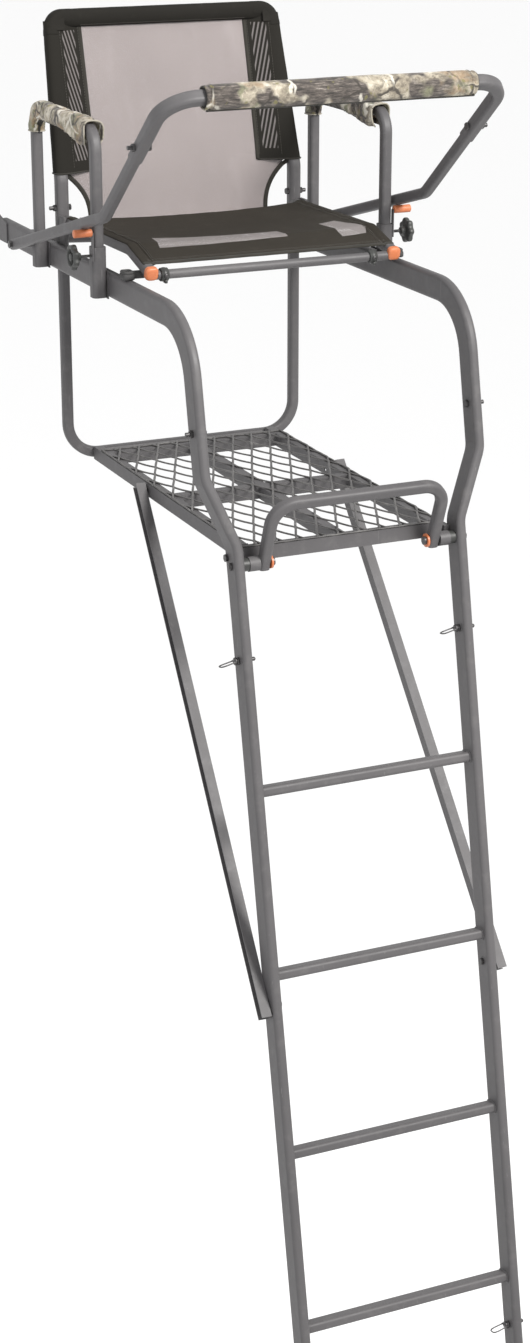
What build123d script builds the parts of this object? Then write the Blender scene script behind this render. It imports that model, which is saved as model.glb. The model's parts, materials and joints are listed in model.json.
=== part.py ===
from build123d import *
import os
from math import sin, cos, tan, atan2, radians, degrees, hypot

# Ladder tree stand: a leaning ladder, a platform and a seat on curved rails.
# All lengths are millimetres. Origin on the ground, midway between the two feet.
# +X is left to right as seen from the front, +Y points at the tree, +Z is up.
# Shapes are built in a platform frame, whose origin is at the platform top between
# the two uprights, and moved once, at export.

os.makedirs("parts", exist_ok=True)

# ---------------------------------------------------------------- driving dimensions
LEAN = 11.78                     # ladder lean towards the tree, degrees
SECTION_LENGTH = 1420.0          # one ladder section, seam to seam
SECTION_COUNT = 3
RUNG_PITCH = 355.0
RUNGS_PER_SECTION = 4
PLATFORM_SEAM = 248.0            # down the rails, platform top to the first ladder seam
FIRST_RUNG = 455.0               # down the rails, platform top to the first rung
RAIL_DEPTH = 50.0
RAIL_WIDTH = 20.0
RAIL_CORNER = 8.0
WALL = 1.5
LADDER_X = 230.0                 # ladder rail centre from the middle
SEAT_RAIL_X = 282.0              # seat rail centre from the middle
FLARE_LOW = 8.0                  # the uprights bend outward here, up the rails
FLARE_HIGH = 137.0               # and straighten here
SEAT_SEAM = 177.0                # up the rails, platform upright to seat rail
FLARE_BEND_RADIUS = 60.0
SEAT_RAIL_Z = 412.0              # centre of the horizontal part of the seat rails
SEAT_RAIL_BEND = 126.0
SEAT_RAIL_END_Y = 1122.0
SPIGOT_LENGTH = 95.0
SPIGOT_GAP = 0.25
PIN_ABOVE_SEAM = 45.0
PIN_RADIUS = 4.0
HOLE_GAP = 0.3                   # clearance of a hole around a pin or bolt
TUBE = 22.0                      # the smaller square tube with rounded corners
TUBE_CORNER = 7.0

PLATFORM_HALF_WIDTH = 208.0
PLATFORM_FRONT_Y = 14.0
PLATFORM_REAR_Y = 745.0
BEAM_WIDTH = 20.0
BEAM_DEPTH = 28.0
MID_BEAM_Y = 385.0
GRATE_THICKNESS = 3.0
GRATE_STRAND = 4.5
DIAMOND_WIDTH = 43.0
DIAMOND_LENGTH = 100.0

U_BRACE_X = 260.0
U_BRACE_Y = 815.0
U_BRACE_BAR_Z = -16.0
U_BRACE_TOP_Z = 548.0
U_BRACE_BEND = 68.0

POST_TUBE = 26.0                 # backrest tube, slips over the U brace legs
POST_WALL = 1.7
BACK_POST_BOTTOM_Z = 446.0
BACK_KINK_Z = 560.0
BACK_TOP_X = 243.0
BACK_TOP_Y = 903.0
BACK_TOP_Z = 874.0
BACK_CORNER_RADIUS = 24.0

ARMREST_X = 308.0
ARMREST_FRONT_Y = 479.0
ARMREST_REAR_Y = 820.0
ARMREST_TOP_Z = 707.0
ARMREST_BOTTOM_Z = 394.0
ARMREST_BEND = 42.0
SOCKET_SIZE = 29.0
FRONT_SOCKET_TOP_Z = 486.0
REAR_SOCKET_TOP_Z = 442.0
SOCKET_BOTTOM_Z = 388.0
KNOB_Z = 469.0
KNOB_X = 351.0                   # inner face of the clamp knob
KNOB_RADIUS = 26.0
KNOB_THICKNESS = 14.0
KNOB_LOBES = 7

SHOOT_X = 336.0                  # shooting rail arm centre
SHOOT_PIVOT_Y = 888.0
SHOOT_PIVOT_Z = 424.0
SHOOT_BEND_Y = 358.0
SHOOT_BEND_Z = 564.0
SHOOT_FRONT_Y = 45.0
SHOOT_FRONT_Z = 815.0
SHOOT_SEAM = 0.52                # share of the rising run from bend to corner
SHOOT_FRONT_TUBE = 25.0
SHOOT_CORNER_RADIUS = 62.0
SLEEVE_HALF_LENGTH = 267.0
SLEEVE_RADIUS = 23.0
PEG_RADIUS = 8.0
PEG_Y = 469.5
ARM_TUBE = 21.4                  # rear arms, slide inside the front frame

SEAT_TUBE_X = 255.0
SEAT_PIVOT_Y = 786.0
SEAT_TUBE_TAIL = 7.0             # seat tube behind its pivot
SEAT_PIVOT_Z = 480.0
SEAT_BEND_Y = 436.0
SEAT_BEND_Z = 484.0
SEAT_FRONT_Y = 338.0
SEAT_FRONT_Z = 457.0
SEAT_BEND_RADIUS = 80.0
CROSSBAR_RADIUS = 9.0
CROSSBAR_DROP = 6.0              # crossbar below the seat tube's front end
CLAMP_X = (-228.0, 210.0)
REAR_BAR_RADIUS = 8.0
REAR_BAR_FORWARD = 22.0          # rear bar in front of and below the seat pivot
REAR_BAR_DROP = 11.0
SEAT_FABRIC_THICKNESS = 6.0
SEAT_CAP_SIZE = 26.0
SEAT_CAP_CORNER = 10.0
SEAT_CAP_LENGTH = 12.0
SEAT_REST_INNER = 273.0          # rubber rest on the seat rail, x range of the pad
SEAT_REST_OUTER = 297.0
SEAT_REST_ARM = 243.0            # and where its arm ends under the seat tube
SEAT_REST_HEIGHT = 20.0
PIVOT_PLATE_LOW = 392.0
PLATE_TOP = 436.0                # socket plates on the seat rails

FOOT_PIVOT_Y = -10.0
FOOT_PIVOT_Z = -25.0
FOOTREST_X = 175.0
FOOTREST_LEAN = 20.8             # forward of vertical, degrees
FOOTREST_LENGTH = 129.5
FOOTREST_BEND = 45.0

BRACE_SIZE = 22.0
BRACE_TOP_X = 222.0
BRACE_TOP_Y = 495.0
BRACE_TOP_Z = -17.0
BRACE_LOW_X = 252.0
BRACE_LOW_UP = -866.0            # up the rails, so below the platform
BACK_BOLT_Z = 505.0

LEAN_RAD = radians(LEAN)
FOOT_DISTANCE = PLATFORM_SEAM + SECTION_COUNT * SECTION_LENGTH + 12.0
ARM_SLOPE = (SHOOT_BEND_Z - SHOOT_PIVOT_Z) / (SHOOT_PIVOT_Y - SHOOT_BEND_Y)
PEG_GAP = 0.3
PEG_DROP = (ARM_TUBE / 2 + PEG_RADIUS + PEG_GAP) * hypot(1.0, ARM_SLOPE)
PEG_Z = SHOOT_PIVOT_Z + ARM_SLOPE * (SHOOT_PIVOT_Y - PEG_Y) - PEG_DROP
PLATFORM_Y = FOOT_DISTANCE * sin(LEAN_RAD)
PLATFORM_Z = FOOT_DISTANCE * cos(LEAN_RAD)
SIDES = (("left", -1), ("right", 1))


# ---------------------------------------------------------------- helpers
def export(shape, node):
    """Move a shape from the platform frame to the ground frame and write its STEP."""
    placed = Pos(0, PLATFORM_Y, PLATFORM_Z) * shape
    export_step(placed, f"parts/{node}.step")


def group(shapes):
    """Several separate solids in one node."""
    return Compound(children=list(shapes))


def on_lean(shape):
    """Tip a shape built upright, local +Z up the rails, to the ladder's lean."""
    return Rot(-LEAN, 0, 0) * shape


def lean_point(x, up, rear=0.0):
    """Platform-frame point of a place on the leaning rails."""
    y = up * sin(LEAN_RAD) + rear * cos(LEAN_RAD)
    z = up * cos(LEAN_RAD) - rear * sin(LEAN_RAD)
    return (x, y, z)


def along_x(radius, x_from, x_to, y, z):
    """Round bar along X between two x values."""
    length = abs(x_to - x_from)
    return Pos((x_from + x_to) / 2, y, z) * Rot(0, 90, 0) * Cylinder(radius, length)


def block(x_from, x_to, y_from, y_to, z_from, z_to):
    """Box between two corners."""
    centre = Pos((x_from + x_to) / 2, (y_from + y_to) / 2, (z_from + z_to) / 2)
    return centre * Box(abs(x_to - x_from), abs(y_to - y_from), abs(z_to - z_from))


def swept_bar(path, size_x, size_y, corner, x_dir):
    """Solid rounded bar swept along a path; x_dir is the section's own x direction."""
    start = Plane(origin=path @ 0, x_dir=x_dir, z_dir=path % 0)
    return sweep(start * RectangleRounded(size_x, size_y, corner), path=path)


def swept_tube(path, size_x, size_y, corner, wall, x_dir):
    """Open-ended rounded tube swept along a path."""
    outer = swept_bar(path, size_x, size_y, corner, x_dir)
    inner = swept_bar(path, size_x - 2 * wall, size_y - 2 * wall, corner - wall, x_dir)
    return outer - inner


def straight_ring(size_x, size_y, corner, wall, z_from, z_to):
    """Straight rounded tube along local Z."""
    ring = RectangleRounded(size_x, size_y, corner)
    ring -= RectangleRounded(size_x - 2 * wall, size_y - 2 * wall, corner - wall)
    return Pos(0, 0, z_from) * extrude(ring, z_to - z_from)


def hex_nut(radius, thickness):
    """Hexagonal nut or bolt head blank along local Z, starting at zero."""
    return extrude(RegularPolygon(radius, 6), thickness)


def bolt_along_x(x_head, x_nut, y, z, radius=PIN_RADIUS, head=7.5, tail=0.0):
    """Bolt with a hexagonal head at one end and a nut at the other, tail past the nut."""
    thickness = 5.5
    direction = 1 if x_nut > x_head else -1
    turn = Rot(0, 90 * direction, 0)
    shank = along_x(radius, x_head, x_nut + direction * (thickness + tail), y, z)
    head_solid = Pos(x_head - direction * thickness, y, z) * turn * hex_nut(head, thickness)
    nut_solid = Pos(x_nut, y, z) * turn * hex_nut(head, thickness)
    return shank + head_solid + nut_solid


# ---------------------------------------------------------------- ladder
def spigot(z_seam):
    """Reduced tube end that stands above a seam, with the collar that joins it."""
    inner_x = RAIL_WIDTH - 2 * WALL
    inner_y = RAIL_DEPTH - 2 * WALL
    size_x = inner_x - 2 * SPIGOT_GAP
    size_y = inner_y - 2 * SPIGOT_GAP
    corner = RAIL_CORNER - WALL
    collar_length = 18.0
    overlap = 0.4
    low = z_seam - collar_length
    tube = straight_ring(size_x, size_y, corner - SPIGOT_GAP, WALL, low, z_seam + SPIGOT_LENGTH)
    collar = straight_ring(inner_x + overlap, inner_y + overlap, corner, WALL, low, z_seam - 2.0)
    return tube + collar


def rail_hole(up):
    """Cross hole along X through a rail at a distance up the rails."""
    return Pos(0, 0, up) * Rot(0, 90, 0) * Cylinder(PIN_RADIUS + HOLE_GAP, 4 * RAIL_WIDTH)


def ladder_rail(index):
    """One straight rail of a ladder section, in the rail's own upright frame."""
    top = -PLATFORM_SEAM - index * SECTION_LENGTH
    bottom = top - SECTION_LENGTH
    rail = straight_ring(RAIL_WIDTH, RAIL_DEPTH, RAIL_CORNER, WALL, bottom, top)
    rail += spigot(top)
    rail -= rail_hole(top + PIN_ABOVE_SEAM)
    if index < SECTION_COUNT - 1:
        rail -= rail_hole(bottom + PIN_ABOVE_SEAM)
    if index == 0:
        rail -= rail_hole(BRACE_LOW_UP)
    return rail


def rung(index):
    """Flat oval rung between the rails."""
    rung_height = 20.0
    rung_depth = 30.0
    rung_corner = 7.0
    rung_rear = 4.0
    up = -FIRST_RUNG - index * RUNG_PITCH
    length = 2 * LADDER_X - RAIL_WIDTH
    profile = RectangleRounded(rung_depth, rung_height, rung_corner)
    profile -= RectangleRounded(rung_depth - 2 * WALL, rung_height - 2 * WALL, rung_corner - WALL)
    return Pos(0, rung_rear, up) * extrude(Plane.YZ * profile, length / 2, both=True)


def foot(side):
    """Rubber foot cut flat at the ground, with a pocket for the rail end."""
    pad_x = RAIL_WIDTH + 10.0
    pad_y = RAIL_DEPTH + 14.0
    pocket_gap = 0.15
    pocket_depth = 48.0
    rail_end = -FOOT_DISTANCE + 12.0
    pad = extrude(RectangleRounded(pad_x, pad_y, 10.0), 42.0 + pocket_depth)
    pad = Pos(0, 0, -FOOT_DISTANCE - 30.0) * pad
    pocket = RectangleRounded(RAIL_WIDTH + 2 * pocket_gap, RAIL_DEPTH + 2 * pocket_gap, RAIL_CORNER)
    pad -= Pos(0, 0, rail_end) * extrude(pocket, pocket_depth + 40.0)
    pad = on_lean(Pos(side * LADDER_X, 0, 0) * pad)
    below = block(-400, 400, -1600, 0, -PLATFORM_Z - 200, -PLATFORM_Z)
    return pad - below


def snap_pin():
    """Locking pin along X through both walls, with a head and a wire pull ring."""
    head_radius = 7.5
    head_length = 9.0
    wire = 1.6
    ring_width = 15.0
    ring_length = 30.0
    half = RAIL_WIDTH / 2
    shaft_out = half + 13.0
    head_gap = 0.4
    pin = along_x(PIN_RADIUS, -half - head_gap - head_length, shaft_out, 0, 0)
    pin += along_x(head_radius, -half - head_gap - head_length, -half - head_gap, 0, 0)
    pin += Pos(shaft_out, 0, 0) * Sphere(PIN_RADIUS)
    ring_x = -half - head_length - head_gap + 1.0
    ring_path = FilletPolyline(
        (ring_x + 1.0, -ring_width / 2, 0),
        (ring_x - ring_length, -ring_width / 2, -6.0),
        (ring_x - ring_length, ring_width / 2, -6.0),
        (ring_x + 1.0, ring_width / 2, 0),
        radius=6.0,
    )
    section = Plane(origin=ring_path @ 0, z_dir=ring_path % 0) * Circle(wire)
    ring = sweep(section, path=ring_path)
    yoke = Pos(ring_x, 0, 0) * Rot(90, 0, 0) * Cylinder(wire + 0.8, ring_width + 2 * wire)
    return pin + ring + yoke


for section_index in range(SECTION_COUNT):
    number = section_index + 1
    rails = [on_lean(Pos(side * LADDER_X, 0, 0) * ladder_rail(section_index)) for side_name, side in SIDES]
    export(group(rails), f"ladder_{number}_rails")
    for side_name, side in SIDES:
        pin_up = -PLATFORM_SEAM - section_index * SECTION_LENGTH + PIN_ABOVE_SEAM
        placed_pin = on_lean(Pos(side * LADDER_X, 0, pin_up) * snap_pin())
        export(placed_pin, f"snap_pin_{number}_{side_name}")
    first = section_index * RUNGS_PER_SECTION
    rungs = [on_lean(rung(first + step)) for step in range(RUNGS_PER_SECTION)]
    export(group(rungs), f"ladder_{number}_rungs")
export(group([foot(-1), foot(1)]), "ladder_feet")


# ---------------------------------------------------------------- uprights and seat rails
def platform_upright(side):
    """Upright that flares outward above the platform, spigot on top."""
    path = FilletPolyline(
        (side * LADDER_X, 0, -PLATFORM_SEAM),
        (side * LADDER_X, 0, FLARE_LOW),
        (side * SEAT_RAIL_X, 0, FLARE_HIGH),
        (side * SEAT_RAIL_X, 0, SEAT_SEAM),
        radius=FLARE_BEND_RADIUS,
    )
    upright = swept_tube(path, RAIL_WIDTH, RAIL_DEPTH, RAIL_CORNER, WALL, (1, 0, 0))
    upright += Pos(side * SEAT_RAIL_X, 0, 0) * spigot(SEAT_SEAM)
    upright -= Pos(side * LADDER_X, 0, 0) * rail_hole(-PLATFORM_SEAM + PIN_ABOVE_SEAM)
    upright -= Pos(side * SEAT_RAIL_X, 0, 0) * rail_hole(SEAT_SEAM + PIN_ABOVE_SEAM)
    return on_lean(upright) - along_x(PIN_RADIUS + HOLE_GAP, -SHOOT_X, SHOOT_X, FOOT_PIVOT_Y, FOOT_PIVOT_Z)


def seat_rail(side):
    """Seat rail: up the lean, over a wide bend and level back to the tree."""
    start = lean_point(0, SEAT_SEAM)
    corner_y = SEAT_RAIL_Z * tan(LEAN_RAD)
    path = FilletPolyline(
        (side * SEAT_RAIL_X, start[1], start[2]),
        (side * SEAT_RAIL_X, corner_y, SEAT_RAIL_Z),
        (side * SEAT_RAIL_X, SEAT_RAIL_END_Y, SEAT_RAIL_Z),
        radius=SEAT_RAIL_BEND,
    )
    rail = swept_tube(path, RAIL_WIDTH, RAIL_DEPTH, RAIL_CORNER, WALL, (1, 0, 0))
    rail -= on_lean(Pos(side * SEAT_RAIL_X, 0, 0) * rail_hole(SEAT_SEAM + PIN_ABOVE_SEAM))
    rail -= along_x(PIN_RADIUS + HOLE_GAP, -SHOOT_X, SHOOT_X, SHOOT_PIVOT_Y, SHOOT_PIVOT_Z)
    return rail - along_x(PIN_RADIUS + HOLE_GAP, -SHOOT_X, SHOOT_X, U_BRACE_Y, SEAT_RAIL_Z)


for side_name, side in SIDES:
    export(platform_upright(side), f"upright_{side_name}")
    export(seat_rail(side), f"seat_rail_{side_name}")

seam_bolt_y, seam_bolt_z = lean_point(0, SEAT_SEAM + PIN_ABOVE_SEAM)[1:]
seam_bolts = []
for side_name, side in SIDES:
    inner_x = side * (SEAT_RAIL_X - RAIL_WIDTH / 2 - 0.2)
    outer_x = side * (SEAT_RAIL_X + RAIL_WIDTH / 2 + 0.2)
    seam_bolts.append(bolt_along_x(inner_x, outer_x, seam_bolt_y, seam_bolt_z, tail=8.0))


def tree_blade(side):
    """End plate on a seat rail whose upper corner turns up and bites the trunk."""
    thickness = 3.0
    outline = Polyline(
        (SEAT_RAIL_END_Y - 46.0, SEAT_RAIL_Z - 22.0),
        (SEAT_RAIL_END_Y + 6.0, SEAT_RAIL_Z - 22.0),
        (SEAT_RAIL_END_Y + 12.0, SEAT_RAIL_Z + 34.0),
        (SEAT_RAIL_END_Y - 12.0, SEAT_RAIL_Z + 28.0),
        (SEAT_RAIL_END_Y - 46.0, SEAT_RAIL_Z + 20.0),
        close=True,
    )
    plate = extrude(Plane.YZ * make_face(outline), thickness)
    outer = SEAT_RAIL_X + RAIL_WIDTH / 2
    x = outer if side > 0 else -outer - thickness
    return Pos(x, 0, 0) * plate


def tree_brace():
    """V tube between the seat rails that takes the trunk."""
    rail_inner = SEAT_RAIL_X - RAIL_WIDTH / 2 - 0.1
    wing_x = rail_inner + 10.0
    wing_y = SEAT_RAIL_END_Y - 52.0
    apex_y = wing_y - 82.0
    path = FilletPolyline(
        (-wing_x, wing_y, SEAT_RAIL_Z - 8.0),
        (0, apex_y, SEAT_RAIL_Z - 8.0),
        (wing_x, wing_y, SEAT_RAIL_Z - 8.0),
        radius=110.0,
    )
    tube_shape = swept_tube(path, 28.0, 28.0, TUBE_CORNER, WALL, (0, 0, 1))
    return tube_shape & block(-rail_inner, rail_inner, 0, 2 * wing_y, 0, 2 * SEAT_RAIL_Z)


export(group([tree_blade(-1), tree_blade(1)]), "tree_blades")
export(tree_brace(), "tree_brace")


# ---------------------------------------------------------------- platform
def beam(x_from, x_to, y_from, y_to):
    """Steel channel with its open side down."""
    sheet = 2.0
    top = -1.0
    bottom = -BEAM_DEPTH
    shell = block(x_from, x_to, y_from, y_to, bottom, top)
    if abs(x_to - x_from) > abs(y_to - y_from):
        inside = block(x_from, x_to, y_from + sheet, y_to - sheet, bottom, top - sheet)
    else:
        inward = sheet if x_to > x_from else -sheet
        inside = block(x_from + inward, x_to - inward, y_from, y_to, bottom, top - sheet)
    return shell - inside


def platform_side_beam(side):
    """Side beam from the front beam back to the U brace."""
    outer = side * PLATFORM_HALF_WIDTH
    inner = side * (PLATFORM_HALF_WIDTH - BEAM_WIDTH)
    rear = U_BRACE_Y - TUBE / 2 - 0.5
    shape = beam(outer, inner, PLATFORM_FRONT_Y + BEAM_WIDTH + 0.2, rear)
    return shape - along_x(PIN_RADIUS + HOLE_GAP, -SHOOT_X, SHOOT_X, BRACE_TOP_Y, BRACE_TOP_Z)


def grate():
    """Expanded-metal sheet: two families of slanted strands inside a rim."""
    half_x = PLATFORM_HALF_WIDTH - 3.0
    front = PLATFORM_FRONT_Y + 3.0
    rear = PLATFORM_REAR_Y + BEAM_WIDTH - 3.0
    length = rear - front
    rim = 6.0
    angle = degrees(atan2(DIAMOND_WIDTH, DIAMOND_LENGTH))
    half_drift = length * DIAMOND_WIDTH / DIAMOND_LENGTH / 2
    reach = int((half_x + half_drift) / DIAMOND_WIDTH) + 1
    strand = Rectangle(GRATE_STRAND, 2 * length)
    field = Rectangle(2 * half_x - rim, length - rim)
    strands = []
    for index in range(-reach, reach + 1):
        for turn in (angle, -angle):
            strands.append(Pos(index * DIAMOND_WIDTH, 0) * Rot(0, 0, turn) * strand & field)
    sheet = Rectangle(2 * half_x, length) - Rectangle(2 * half_x - 2 * rim, length - 2 * rim)
    sheet += strands
    return Pos(0, (rear + front) / 2, -0.8) * extrude(sheet, GRATE_THICKNESS)


half_inside = PLATFORM_HALF_WIDTH - BEAM_WIDTH - 0.2
front_beam_y = (PLATFORM_FRONT_Y, PLATFORM_FRONT_Y + BEAM_WIDTH)
cross_beams = [beam(-PLATFORM_HALF_WIDTH, PLATFORM_HALF_WIDTH, *front_beam_y)]
for beam_y in (MID_BEAM_Y, PLATFORM_REAR_Y):
    cross_beams.append(beam(-half_inside, half_inside, beam_y, beam_y + BEAM_WIDTH))
centre_beams = []
for y_from, y_to in ((PLATFORM_FRONT_Y, MID_BEAM_Y), (MID_BEAM_Y, PLATFORM_REAR_Y)):
    centre_beams.append(beam(-BEAM_WIDTH / 2, BEAM_WIDTH / 2, y_from + BEAM_WIDTH + 0.2, y_to - 0.2))
side_beams = [platform_side_beam(side) for side_name, side in SIDES]
export(group(side_beams), "platform_side_beams")
export(group(cross_beams + centre_beams), "platform_cross_beams")
export(grate(), "platform_grate")


def platform_lug(side):
    """Welded lug between the platform's front corner and the upright."""
    inner_x = PLATFORM_HALF_WIDTH + 0.2
    outer_x = LADDER_X - RAIL_WIDTH / 2 - 0.2
    front = PLATFORM_FRONT_Y - 9.0
    rear = PLATFORM_FRONT_Y + 22.0
    return block(side * inner_x, side * outer_x, front, rear, -34.0, -6.0)


def platform_bolt_head(side):
    """Bolt head on the outside of the upright at the platform corner."""
    start = side * (LADDER_X + RAIL_WIDTH / 2 + 0.2)
    return Pos(start, 10.0, -14.0) * Rot(0, 90 * side, 0) * hex_nut(7.5, 5.0)


export(group([platform_lug(side) for side_name, side in SIDES]), "platform_lugs")
corner_bolts = [platform_bolt_head(side) for side_name, side in SIDES]


# ---------------------------------------------------------------- U brace and support braces
def u_brace():
    """U tube that hangs from the seat rails and carries the platform's rear edge."""
    path = FilletPolyline(
        (-U_BRACE_X, U_BRACE_Y, U_BRACE_TOP_Z),
        (-U_BRACE_X, U_BRACE_Y, U_BRACE_BAR_Z),
        (U_BRACE_X, U_BRACE_Y, U_BRACE_BAR_Z),
        (U_BRACE_X, U_BRACE_Y, U_BRACE_TOP_Z),
        radius=U_BRACE_BEND,
    )
    brace = swept_tube(path, TUBE, TUBE, TUBE_CORNER, WALL, (0, 1, 0))
    for bolt_z in (SEAT_RAIL_Z, BACK_BOLT_Z):
        brace -= along_x(PIN_RADIUS + HOLE_GAP, -SHOOT_X, SHOOT_X, U_BRACE_Y, bolt_z)
    return brace


def support_brace(side):
    """Channel brace from the platform's side beam down to the ladder rail."""
    sheet = 2.0
    past_bolt = 18.0
    low_y, low_z = lean_point(0, BRACE_LOW_UP)[1:]
    top = Vector(side * BRACE_TOP_X, BRACE_TOP_Y, BRACE_TOP_Z)
    low = Vector(side * BRACE_LOW_X, low_y, low_z)
    along = (low - top).normalized()
    plane = Plane(origin=top - along * (past_bolt - 4.0), x_dir=(1, 0, 0), z_dir=along)
    outer = Rectangle(BRACE_SIZE - 2.0, BRACE_SIZE)
    hollow = Pos(side * sheet, 0) * Rectangle(BRACE_SIZE - 2.0, BRACE_SIZE - 2 * sheet)
    channel = extrude(plane * (outer - hollow), (low - top).length + 2 * past_bolt)
    channel -= along_x(PIN_RADIUS + HOLE_GAP, -SHOOT_X, SHOOT_X, BRACE_TOP_Y, BRACE_TOP_Z)
    return channel - along_x(PIN_RADIUS + HOLE_GAP, -SHOOT_X, SHOOT_X, low_y, low_z)


export(u_brace(), "u_brace")
low_y, low_z = lean_point(0, BRACE_LOW_UP)[1:]
brace_bolts = []
for side_name, side in SIDES:
    export(support_brace(side), f"support_brace_{side_name}")
    beam_inner = PLATFORM_HALF_WIDTH - 2.2
    top_web = BRACE_TOP_X - BRACE_SIZE / 2 + 4.5
    brace_bolts.append(bolt_along_x(side * beam_inner, side * top_web, BRACE_TOP_Y, BRACE_TOP_Z, tail=1.0))
    rail_inner = LADDER_X - RAIL_WIDTH / 2 - 0.2
    low_web = BRACE_LOW_X - BRACE_SIZE / 2 + 4.5
    brace_bolts.append(bolt_along_x(side * rail_inner, side * low_web, low_y, low_z, tail=5.0))


# ---------------------------------------------------------------- armrests
def armrest_path(bottom_z):
    """Centre line of an armrest: an upside-down U in a plane of constant X."""
    return FilletPolyline(
        (0, ARMREST_REAR_Y, bottom_z),
        (0, ARMREST_REAR_Y, ARMREST_TOP_Z),
        (0, ARMREST_FRONT_Y, ARMREST_TOP_Z),
        (0, ARMREST_FRONT_Y, bottom_z),
        radius=ARMREST_BEND,
    )


def armrest_pad():
    """Padded sleeve around the top of an armrest."""
    gap = 0.5
    pad_end = 662.0
    outer_x = 31.0
    outer_z = 32.0
    path = armrest_path(pad_end)
    outer = swept_bar(path, outer_z, outer_x, 10.0, (0, 1, 0))
    inner = swept_bar(path, TUBE + 2 * gap, TUBE + 2 * gap, TUBE_CORNER, (0, 1, 0))
    return outer - inner


def socket(top_z, stud_hole):
    """Square socket welded to a plate on the seat rail's outer face, floor inside."""
    gap = 0.3
    floor = 3.0
    body = extrude(RectangleRounded(SOCKET_SIZE, SOCKET_SIZE, TUBE_CORNER + 2.0), top_z - SOCKET_BOTTOM_Z)
    bore = RectangleRounded(TUBE + 2 * gap, TUBE + 2 * gap, TUBE_CORNER)
    body -= Pos(0, 0, floor) * extrude(bore, top_z - SOCKET_BOTTOM_Z)
    body = Pos(0, 0, SOCKET_BOTTOM_Z) * body
    if stud_hole:
        body -= along_x(PIN_RADIUS - 1.0 + HOLE_GAP, 0, SOCKET_SIZE, 0, KNOB_Z)
    return body


def socket_plate(side, centre_y):
    """Plate that carries a socket on the side of the rail."""
    rail_face = SEAT_RAIL_X + RAIL_WIDTH / 2
    socket_face = ARMREST_X - SOCKET_SIZE / 2
    inner = side * (rail_face + 0.1)
    outer = side * (socket_face + 0.8)
    return block(inner, outer, centre_y - 15.0, centre_y + 30.0, SOCKET_BOTTOM_Z, PLATE_TOP)


def peg_bracket(side):
    """Upright strap that holds the rest peg above the front socket."""
    thickness = 2.5
    inner = ARMREST_X + SOCKET_SIZE / 2 - 2.5
    low = FRONT_SOCKET_TOP_Z - 26.0
    return block(side * inner, side * (inner + thickness), PEG_Y - 4.0, PEG_Y + 4.0, low, PEG_Z)


def clamp_knob(side):
    """Lobed plastic knob on a threaded stud that clamps the armrest post."""
    stud_radius = 3.0
    lobe_radius = 6.2
    lobe_circle = KNOB_RADIUS - lobe_radius
    outline = Circle(lobe_circle)
    for lobe in range(KNOB_LOBES):
        outline += Rot(0, 0, lobe * 360.0 / KNOB_LOBES) * Pos(lobe_circle, 0) * Circle(lobe_radius)
    disc = extrude(outline, KNOB_THICKNESS)
    disc -= Pos(0, 0, KNOB_THICKNESS) * Cylinder(11.0, 8.0)
    hub = Pos(0, 0, -7.0) * Cylinder(9.0, 16.0)
    knob = Pos(KNOB_X, 0, 0) * Rot(0, 90, 0) * (disc + hub)
    post_face = ARMREST_X + TUBE / 2 + 0.6
    knob += along_x(stud_radius, post_face, KNOB_X, 0, 0)
    knob = Pos(0, ARMREST_FRONT_Y, KNOB_Z) * knob
    return knob if side > 0 else mirror(knob, Plane.YZ)


def rest_peg(side):
    """Plastic peg that the shooting rail's arm lies on."""
    inner = ARMREST_X + SOCKET_SIZE / 2 + 0.2
    outer = SHOOT_X + 24.0
    return along_x(PEG_RADIUS, side * inner, side * outer, PEG_Y, PEG_Z)


sockets = []
plates = []
for side_name, side in SIDES:
    tube_shape = swept_tube(armrest_path(ARMREST_BOTTOM_Z - 2.0), TUBE, TUBE, TUBE_CORNER, WALL, (1, 0, 0))
    export(Pos(side * ARMREST_X, 0, 0) * tube_shape, f"armrest_{side_name}")
    export(Pos(side * ARMREST_X, 0, 0) * armrest_pad(), f"armrest_pad_{side_name}")
    export(clamp_knob(side), f"clamp_knob_{side_name}")
    front = socket(FRONT_SOCKET_TOP_Z, True)
    front = front if side > 0 else mirror(front, Plane.YZ)
    front = Pos(side * ARMREST_X, ARMREST_FRONT_Y, 0) * front
    rear = Pos(side * ARMREST_X, ARMREST_REAR_Y, 0) * socket(REAR_SOCKET_TOP_Z, False)
    sockets.append(front + socket_plate(side, ARMREST_FRONT_Y) + peg_bracket(side))
    plates.append(rear + socket_plate(side, ARMREST_REAR_Y))
export(group(sockets), "armrest_front_sockets")
export(group(plates), "armrest_rear_sockets")
export(group([rest_peg(side) for side_name, side in SIDES]), "rest_pegs")

socket_bolts = []
for side_name, side in SIDES:
    plate_face = ARMREST_X - SOCKET_SIZE / 2 + 1.0
    for bolt_y in (ARMREST_FRONT_Y + 23.5, ARMREST_REAR_Y + 23.5):
        place = Pos(side * plate_face, bolt_y, SEAT_RAIL_Z - 14.0)
        socket_bolts.append(place * Rot(0, 90 * side, 0) * hex_nut(7.5, 6.0))


# ---------------------------------------------------------------- shooting rail
rise_y = SHOOT_BEND_Y - SHOOT_FRONT_Y
rise_z = SHOOT_FRONT_Z - SHOOT_BEND_Z
seam_y = SHOOT_BEND_Y - rise_y * SHOOT_SEAM
seam_z = SHOOT_BEND_Z + rise_z * SHOOT_SEAM
rise_length = hypot(rise_y, rise_z)
bolt_past_seam = 38.0
bolt_share = SHOOT_SEAM + bolt_past_seam / rise_length
shoot_bolt_y = SHOOT_BEND_Y - rise_y * bolt_share
shoot_bolt_z = SHOOT_BEND_Z + rise_z * bolt_share


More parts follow.
